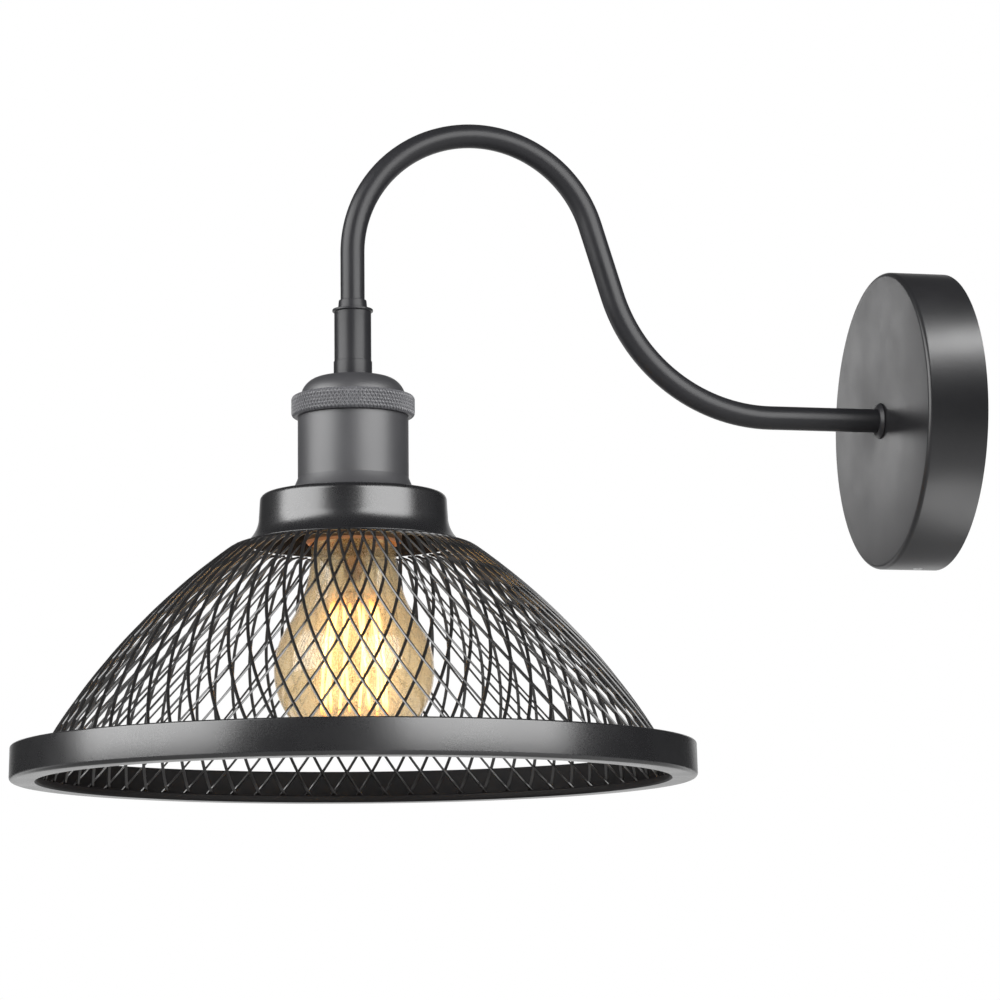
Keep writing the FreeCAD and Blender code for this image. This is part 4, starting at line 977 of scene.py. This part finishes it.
class WALLLIGHT_OT_bulb(bpy.types.Operator):
    """Blown envelope, drawn as one wall from its foot to its mouth"""
    bl_idname = "wall_light.bulb"
    bl_label = "Bulb"

    def execute(self, context):
        mm = Millimetres(context.scene.wall_light.bulb)
        ball, neck, wall, middle, neck_top = mm.diameter / 2, mm.neck / 2, mm.glass, mm.centre, mm.neck_height
        mouth, mouth_top = 12.5, -50.5
        drop = neck_top - middle
        throat = (drop ** 2 + neck ** 2 - ball ** 2) / (2 * (ball - neck))
        across = neck + throat
        turn = math.atan2(drop, across)

        def side(ball_r, throat_r):
            made = [(0.0, middle - ball_r)]
            for k in range(1, 61):
                a = -math.pi / 2 + (turn + math.pi / 2) * k / 60
                made.append((ball_r * math.cos(a), middle + ball_r * math.sin(a)))
            for k in range(1, 25):
                a = math.pi + turn * (1 - k / 24)
                made.append((across + throat_r * math.cos(a), neck_top + throat_r * math.sin(a)))
            return made

        outer = side(ball, throat) + [(mouth, mouth_top)]
        inner = side(ball - wall, throat + wall) + [(mouth - wall, mouth_top)]
        glass = turned("envelope_blown", outer + inner[::-1], 144, open_ends=True, sharp=60.0)
        finished(glass, "bulb", "amber_glass", "bulb_glass").visible_shadow = False
        return {"FINISHED"}


# the pressed stem: its foot, waist and hub
STEM = ((0.0, -50.5), (11.6, -50.5), (10.2, -51.6), (8.2, -53.6), (6.0, -57.0), (4.9, -60.0), (4.3, -63.0),
        (3.4, -66.5), (2.6, -69.0), (2.3, -70.3), (2.9, -71.4), (3.2, -72.6), (2.9, -73.6), (1.6, -74.2),
        (0.0, -74.3))


class WALLLIGHT_OT_filament(bpy.types.Operator):
    """Squirrel-cage filament on its hooks, glass stem and hub, and the light that it gives"""
    bl_idname = "wall_light.filament"
    bl_label = "Filament"

    def execute(self, context):
        sizes = context.scene.wall_light.bulb
        low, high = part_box("filament")
        top, foot = high.z / MM, low.z / MM
        wide = (high.x - low.x) / 2 / MM - 0.3
        narrow = wide * 0.66
        hub, hub_top = 2.8, -74.0
        centre = Vector((0, SHADE_LINE, 0))
        starts = [(a, a + math.pi / sizes.strands) for a in circle(sizes.strands)]

        def at(radius, turn, up):
            return Vector((radius * math.cos(turn), radius * math.sin(turn), up)) * MM + centre

        runs = []
        for a, b in starts:
            path = []
            for k in range(25):
                t = k / 24
                bow = math.sin(math.pi * t) * 0.9
                path.append(at(narrow + (wide - narrow) * t + bow, a + (b - a) * t, top + (foot - top) * t))
            runs.append(wire_rings(path, sizes.wire * 0.5, 8))
        wire = skinned("filament_runs", runs, 60.0, capped=True)
        finished(wire, "bulb", "filament_wire", "filament").visible_shadow = False

        upper = ((hub * 0.9, hub_top + 1.0), (narrow * 0.6, top + 1.9), (narrow - 0.3, top + 0.7),
                 (narrow + 0.35, top + 0.2), (narrow + 0.2, top - 0.45), (narrow - 0.3, top - 0.3))
        lower = ((0.4, foot + 3.2), (wide * 0.55, foot + 1.9), (wide - 0.5, foot + 0.5),
                 (wide + 0.25, foot + 0.1), (wide + 0.05, foot + 0.65))
        hooks = [wire_rings([at(radius, turn, up) for radius, up in hook], 0.14 * MM, 6)
                 for pair in starts for turn, hook in zip(pair, (upper, lower))]
        rod = wire_rings([at(0.0, 0.0, up) for up in (hub_top, (hub_top + foot) / 2, foot + 2.6)],
                         0.45 * MM, 12)
        props = skinned("filament_hooks", hooks + [rod], 60.0, capped=True)
        finished(props, "bulb", "steel", "filament_supports")

        stem = turned("stem_pressed", STEM, 64, open_ends=True, sharp=60.0)
        finished(stem, "bulb", "stem_glass", "glass_stem").visible_shadow = False

        lamp = bpy.data.lights.new("bulb_light", "POINT")
        lamp.energy = sizes.lamp
        lamp.color = (1.0, 0.42, 0.13)
        lamp.shadow_soft_size = 0.012
        light = placed("bulb_light", lamp)
        light.location = centre + Vector((0, 0, (top + foot) / 2 * MM))
        light.visible_camera = light.visible_glossy = light.visible_transmission = False
        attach(light, "bulb")
        return {"FINISHED"}


# ---- inner parts

class WALLLIGHT_OT_inner(bpy.types.Operator):
    """Finishes for the parts that are kept as they are"""
    bl_idname = "wall_light.inner"
    bl_label = "Inner Parts"

    def execute(self, context):
        for part in frame["record"]["subparts"]:
            node = frame["nodes"][part["node"]]
            if node.hide_render:
                continue
            node.data.materials.clear()
            node.data.materials.append(finish_for(part["material_slot"]))
            for face in node.data.polygons:
                face.material_index = 0
            node.data.shade_smooth()
            node.data.set_sharp_from_angle(angle=math.radians(30))
        return {"FINISHED"}


# ---- stage

CAMERA_PLACE = Vector((1.361, -0.4855, -0.2455))
CAMERA_TURN = math.radians(77.4285)
CAMERA_PITCH = math.radians(8.552)
CAMERA_ROLL = math.radians(-0.5875)
CAMERA_LENS = 129.08
WHITE = (1, 1, 1, 1)
SWEEP_WAY = (-0.965, 0.215, 0.149)  # from the light toward the white sweep behind it
FLOOR_HEIGHT, FLOOR_HALF = -0.62, 4


def area_lamp(name, place, target, wide, tall, radiance):
    """A soft panel, with the power that gives it this radiance."""
    lamp = bpy.data.lights.new(name, "AREA")
    lamp.shape = "RECTANGLE"
    lamp.size, lamp.size_y = wide, tall
    lamp.energy = radiance * math.pi * wide * tall
    panel = placed(name, lamp)
    panel.location = place
    panel.rotation_euler = (target - place).to_track_quat("-Z", "Y").to_euler()
    panel.visible_camera = panel.visible_transmission = False
    return panel


def flagged(flag, thing, state):
    """Take one thing out of a lamp's light, or let the lamp light only it."""
    group = bpy.data.collections[flag]
    group.objects.link(thing)
    group.collection_objects[-1].light_linking.link_state = state


def studio_world():
    """White for the eye and for glass; gloss sees a white sweep behind the object in a dim room."""
    world = bpy.data.worlds.new("studio")
    world.use_nodes = True
    world.node_tree.nodes.clear()
    web = Web(world.node_tree)
    direction = web.node("ShaderNodeTexCoord", {}).outputs["Generated"]
    toward = web.node("ShaderNodeVectorMath", {0: direction}, operation="DOT_PRODUCT")
    toward.inputs[1].default_value = SWEEP_WAY
    room = web.spread(toward.outputs["Value"], 0.90, 0.97, 0.05, 0.95)
    paths = web.node("ShaderNodeLightPath", {}).outputs
    gloss = web.levels(paths["Is Glossy Ray"], 0.2, room)
    back = {"Color": WHITE, "Strength": web.levels(web.seen(paths), gloss, 1.0)}
    web.node("ShaderNodeOutputWorld", {"Surface": web.node("ShaderNodeBackground", back).outputs[0]})
    return world


def floor_material():
    """Pale floor that keeps the shadow near the light, and fades into the white around it."""
    coat = Coat("pale floor", Metallic=0.0)
    cloud = coat.noise(coat.place, 3.0)
    coat.feed("Base Color", coat.mixed(cloud, (0.62, 0.62, 0.62), (0.67, 0.67, 0.67)))
    coat.feed("Roughness", coat.spread(cloud, 0.3, 0.7, 0.65, 0.75))
    paths = coat.node("ShaderNodeLightPath", {}).outputs
    away = coat.node("ShaderNodeVectorMath", {0: coat.place}, operation="LENGTH").outputs["Value"]
    faded = coat.maths("MULTIPLY", coat.seen(paths), coat.spread(away, 0.35, 1.3, 0.45))
    # gloss sees the white sweep that rises behind the light
    behind = coat.spread(coat.parted(coat.place)["X"], -1.6, -0.8, 1.0, 0.0)
    swept = coat.maths("MULTIPLY", paths["Is Glossy Ray"], behind)

    def either(factor, first, second):
        return coat.node("ShaderNodeMixShader", {0: factor, 1: first, 2: second}).outputs[0]

    glow = coat.node("ShaderNodeEmission", {"Color": WHITE}).outputs[0]
    above = either(coat.maths("ADD", faded, swept, True), coat.shader.outputs[0], glow)
    under = coat.node("ShaderNodeNewGeometry", {}).outputs["Backfacing"]
    both = either(under, above, coat.node("ShaderNodeBsdfTransparent", {}).outputs[0])
    coat.put(coat.tree.nodes["Material Output"].inputs["Surface"], both)
    return coat.material


def camera_place():
    """Where the camera stands, and its turn from its heading, pitch and roll."""
    flat = Vector((math.sin(CAMERA_TURN), -math.cos(CAMERA_TURN), 0))
    right = Vector((math.cos(CAMERA_TURN), math.sin(CAMERA_TURN), 0))
    rise = Vector((0, 0, 1))
    ahead = -flat * math.cos(CAMERA_PITCH) + rise * math.sin(CAMERA_PITCH)
    above = flat * math.sin(CAMERA_PITCH) + rise * math.cos(CAMERA_PITCH)
    c, s = math.cos(CAMERA_ROLL), math.sin(CAMERA_ROLL)
    turn = Matrix((right * c + above * s, above * c - right * s, -ahead)).transposed()
    return Matrix.Translation(CAMERA_PLACE) @ turn.to_4x4()


class WALLLIGHT_OT_stage(bpy.types.Operator):
    """Camera, floor, white room and soft lamps"""
    bl_idname = "wall_light.stage"
    bl_label = "Stage"

    def execute(self, context):
        scene = context.scene
        scene.view_settings.view_transform = "Standard"
        shot = bpy.data.cameras.new("shot")
        shot.sensor_width = 36.0
        shot.lens = CAMERA_LENS
        shot.dof.use_dof = False
        scene.camera = placed("shot", shot)
        scene.camera.matrix_world = camera_place()

        scene.world = studio_world()
        far = FLOOR_HALF
        floor = piece_from("floor", [(-far, -far, 0), (far, -far, 0), (far, far, 0), (-far, far, 0)],
                           [(0, 1, 2, 3)])
        floor.location = (0, SHADE_LINE, FLOOR_HEIGHT)
        floor.data.materials.append(floor_material())

        target = Vector((0, SHADE_LINE, -0.06))
        toward, beside = Vector((0.984, -0.177, 0.0)), Vector((0.2176, 0.976, 0.0))

        def around(degrees, distance=1.5, up=0.585):
            a = math.radians(degrees)
            return target + (toward * math.cos(a) + beside * math.sin(a)) * distance + Vector((0, 0, up))

        # the flag in front of each lamp says what it lights: both big softboxes stay off the floor, the
        # right-hand one off the canopy too, the top one lights the canopy and the floor only, and the
        # two small ones the canopy only
        for name, place, aim, wide, tall, radiance, flag in (
                ("left_softbox", around(-67), target, 1.8, 1.35, 4.8, "off the floor"),
                ("right_softbox", around(44), target, 1.84, 1.35, 4.9, "off floor and canopy"),
                ("top_softbox", (1.15, 0.62, 1.5), (0.75, 0.3, 0), 2.3, 0.5, 13.0, "canopy and floor"),
                ("low_softbox", (0.18, 0.24, -0.53), (0.15, 0.2, 0), 0.5, 0.34, 2.6, "canopy only"),
                ("far_softbox", (-2.30, -0.80, 0.50), (0, -0.024, 0), 0.2, 0.50, 6.0, "canopy only")):
            lamp = area_lamp(name, Vector(place), Vector(aim), wide, tall, radiance)
            group = bpy.data.collections.get(flag) or bpy.data.collections.new(flag)
            lamp.light_linking.receiver_collection = group
        for flag in ("off the floor", "off floor and canopy"):
            flagged(flag, floor, "EXCLUDE")
        flagged("canopy and floor", floor, "INCLUDE")
        return {"FINISHED"}


# ---- panel and order of work

class WALLLIGHT_PT_panel(bpy.types.Panel):
    """Sizes, finishes and the steps that build the light"""
    bl_label = "Mesh Shade Wall Light"
    bl_space_type = "VIEW_3D"
    bl_region_type = "UI"
    bl_category = "Wall Light"

    def draw(self, context):
        settings = context.scene.wall_light
        for name in ("canopy", "arm", "holder", "shade", "bulb", "finish"):
            box = self.layout.box()
            box.label(text=name.title())
            group = getattr(settings, name)
            for row in group.__annotations__:
                box.prop(group, row)
        for step in STEPS:
            self.layout.operator(step.bl_idname)


GROUPS = (WALLLIGHT_PG_canopy, WALLLIGHT_PG_arm, WALLLIGHT_PG_holder, WALLLIGHT_PG_shade, WALLLIGHT_PG_bulb,
          WALLLIGHT_PG_finish, WALLLIGHT_PG_light)
STEPS = (WALLLIGHT_OT_stage, WALLLIGHT_OT_canopy, WALLLIGHT_OT_arm, WALLLIGHT_OT_holder, WALLLIGHT_OT_ring,
         WALLLIGHT_OT_threads, WALLLIGHT_OT_collar, WALLLIGHT_OT_rim, WALLLIGHT_OT_net, WALLLIGHT_OT_bulb,
         WALLLIGHT_OT_filament, WALLLIGHT_OT_inner)
CLASSES = GROUPS + STEPS + (WALLLIGHT_PT_panel,)


def register():
    for made in CLASSES:
        bpy.utils.register_class(made)
    bpy.types.Scene.wall_light = bpy.props.PointerProperty(type=WALLLIGHT_PG_light)


def unregister():
    del bpy.types.Scene.wall_light
    for made in reversed(CLASSES):
        bpy.utils.unregister_class(made)


def main():
    register()
    bpy.ops.wall_light.stage()
    bpy.ops.wall_light.canopy()
    bpy.ops.wall_light.arm()
    bpy.ops.wall_light.holder()
    bpy.ops.wall_light.ring()
    bpy.ops.wall_light.threads()
    bpy.ops.wall_light.collar()
    bpy.ops.wall_light.rim()
    bpy.ops.wall_light.net()
    bpy.ops.wall_light.bulb()
    bpy.ops.wall_light.filament()
    bpy.ops.wall_light.inner()


if __name__ == "__main__":
    main()
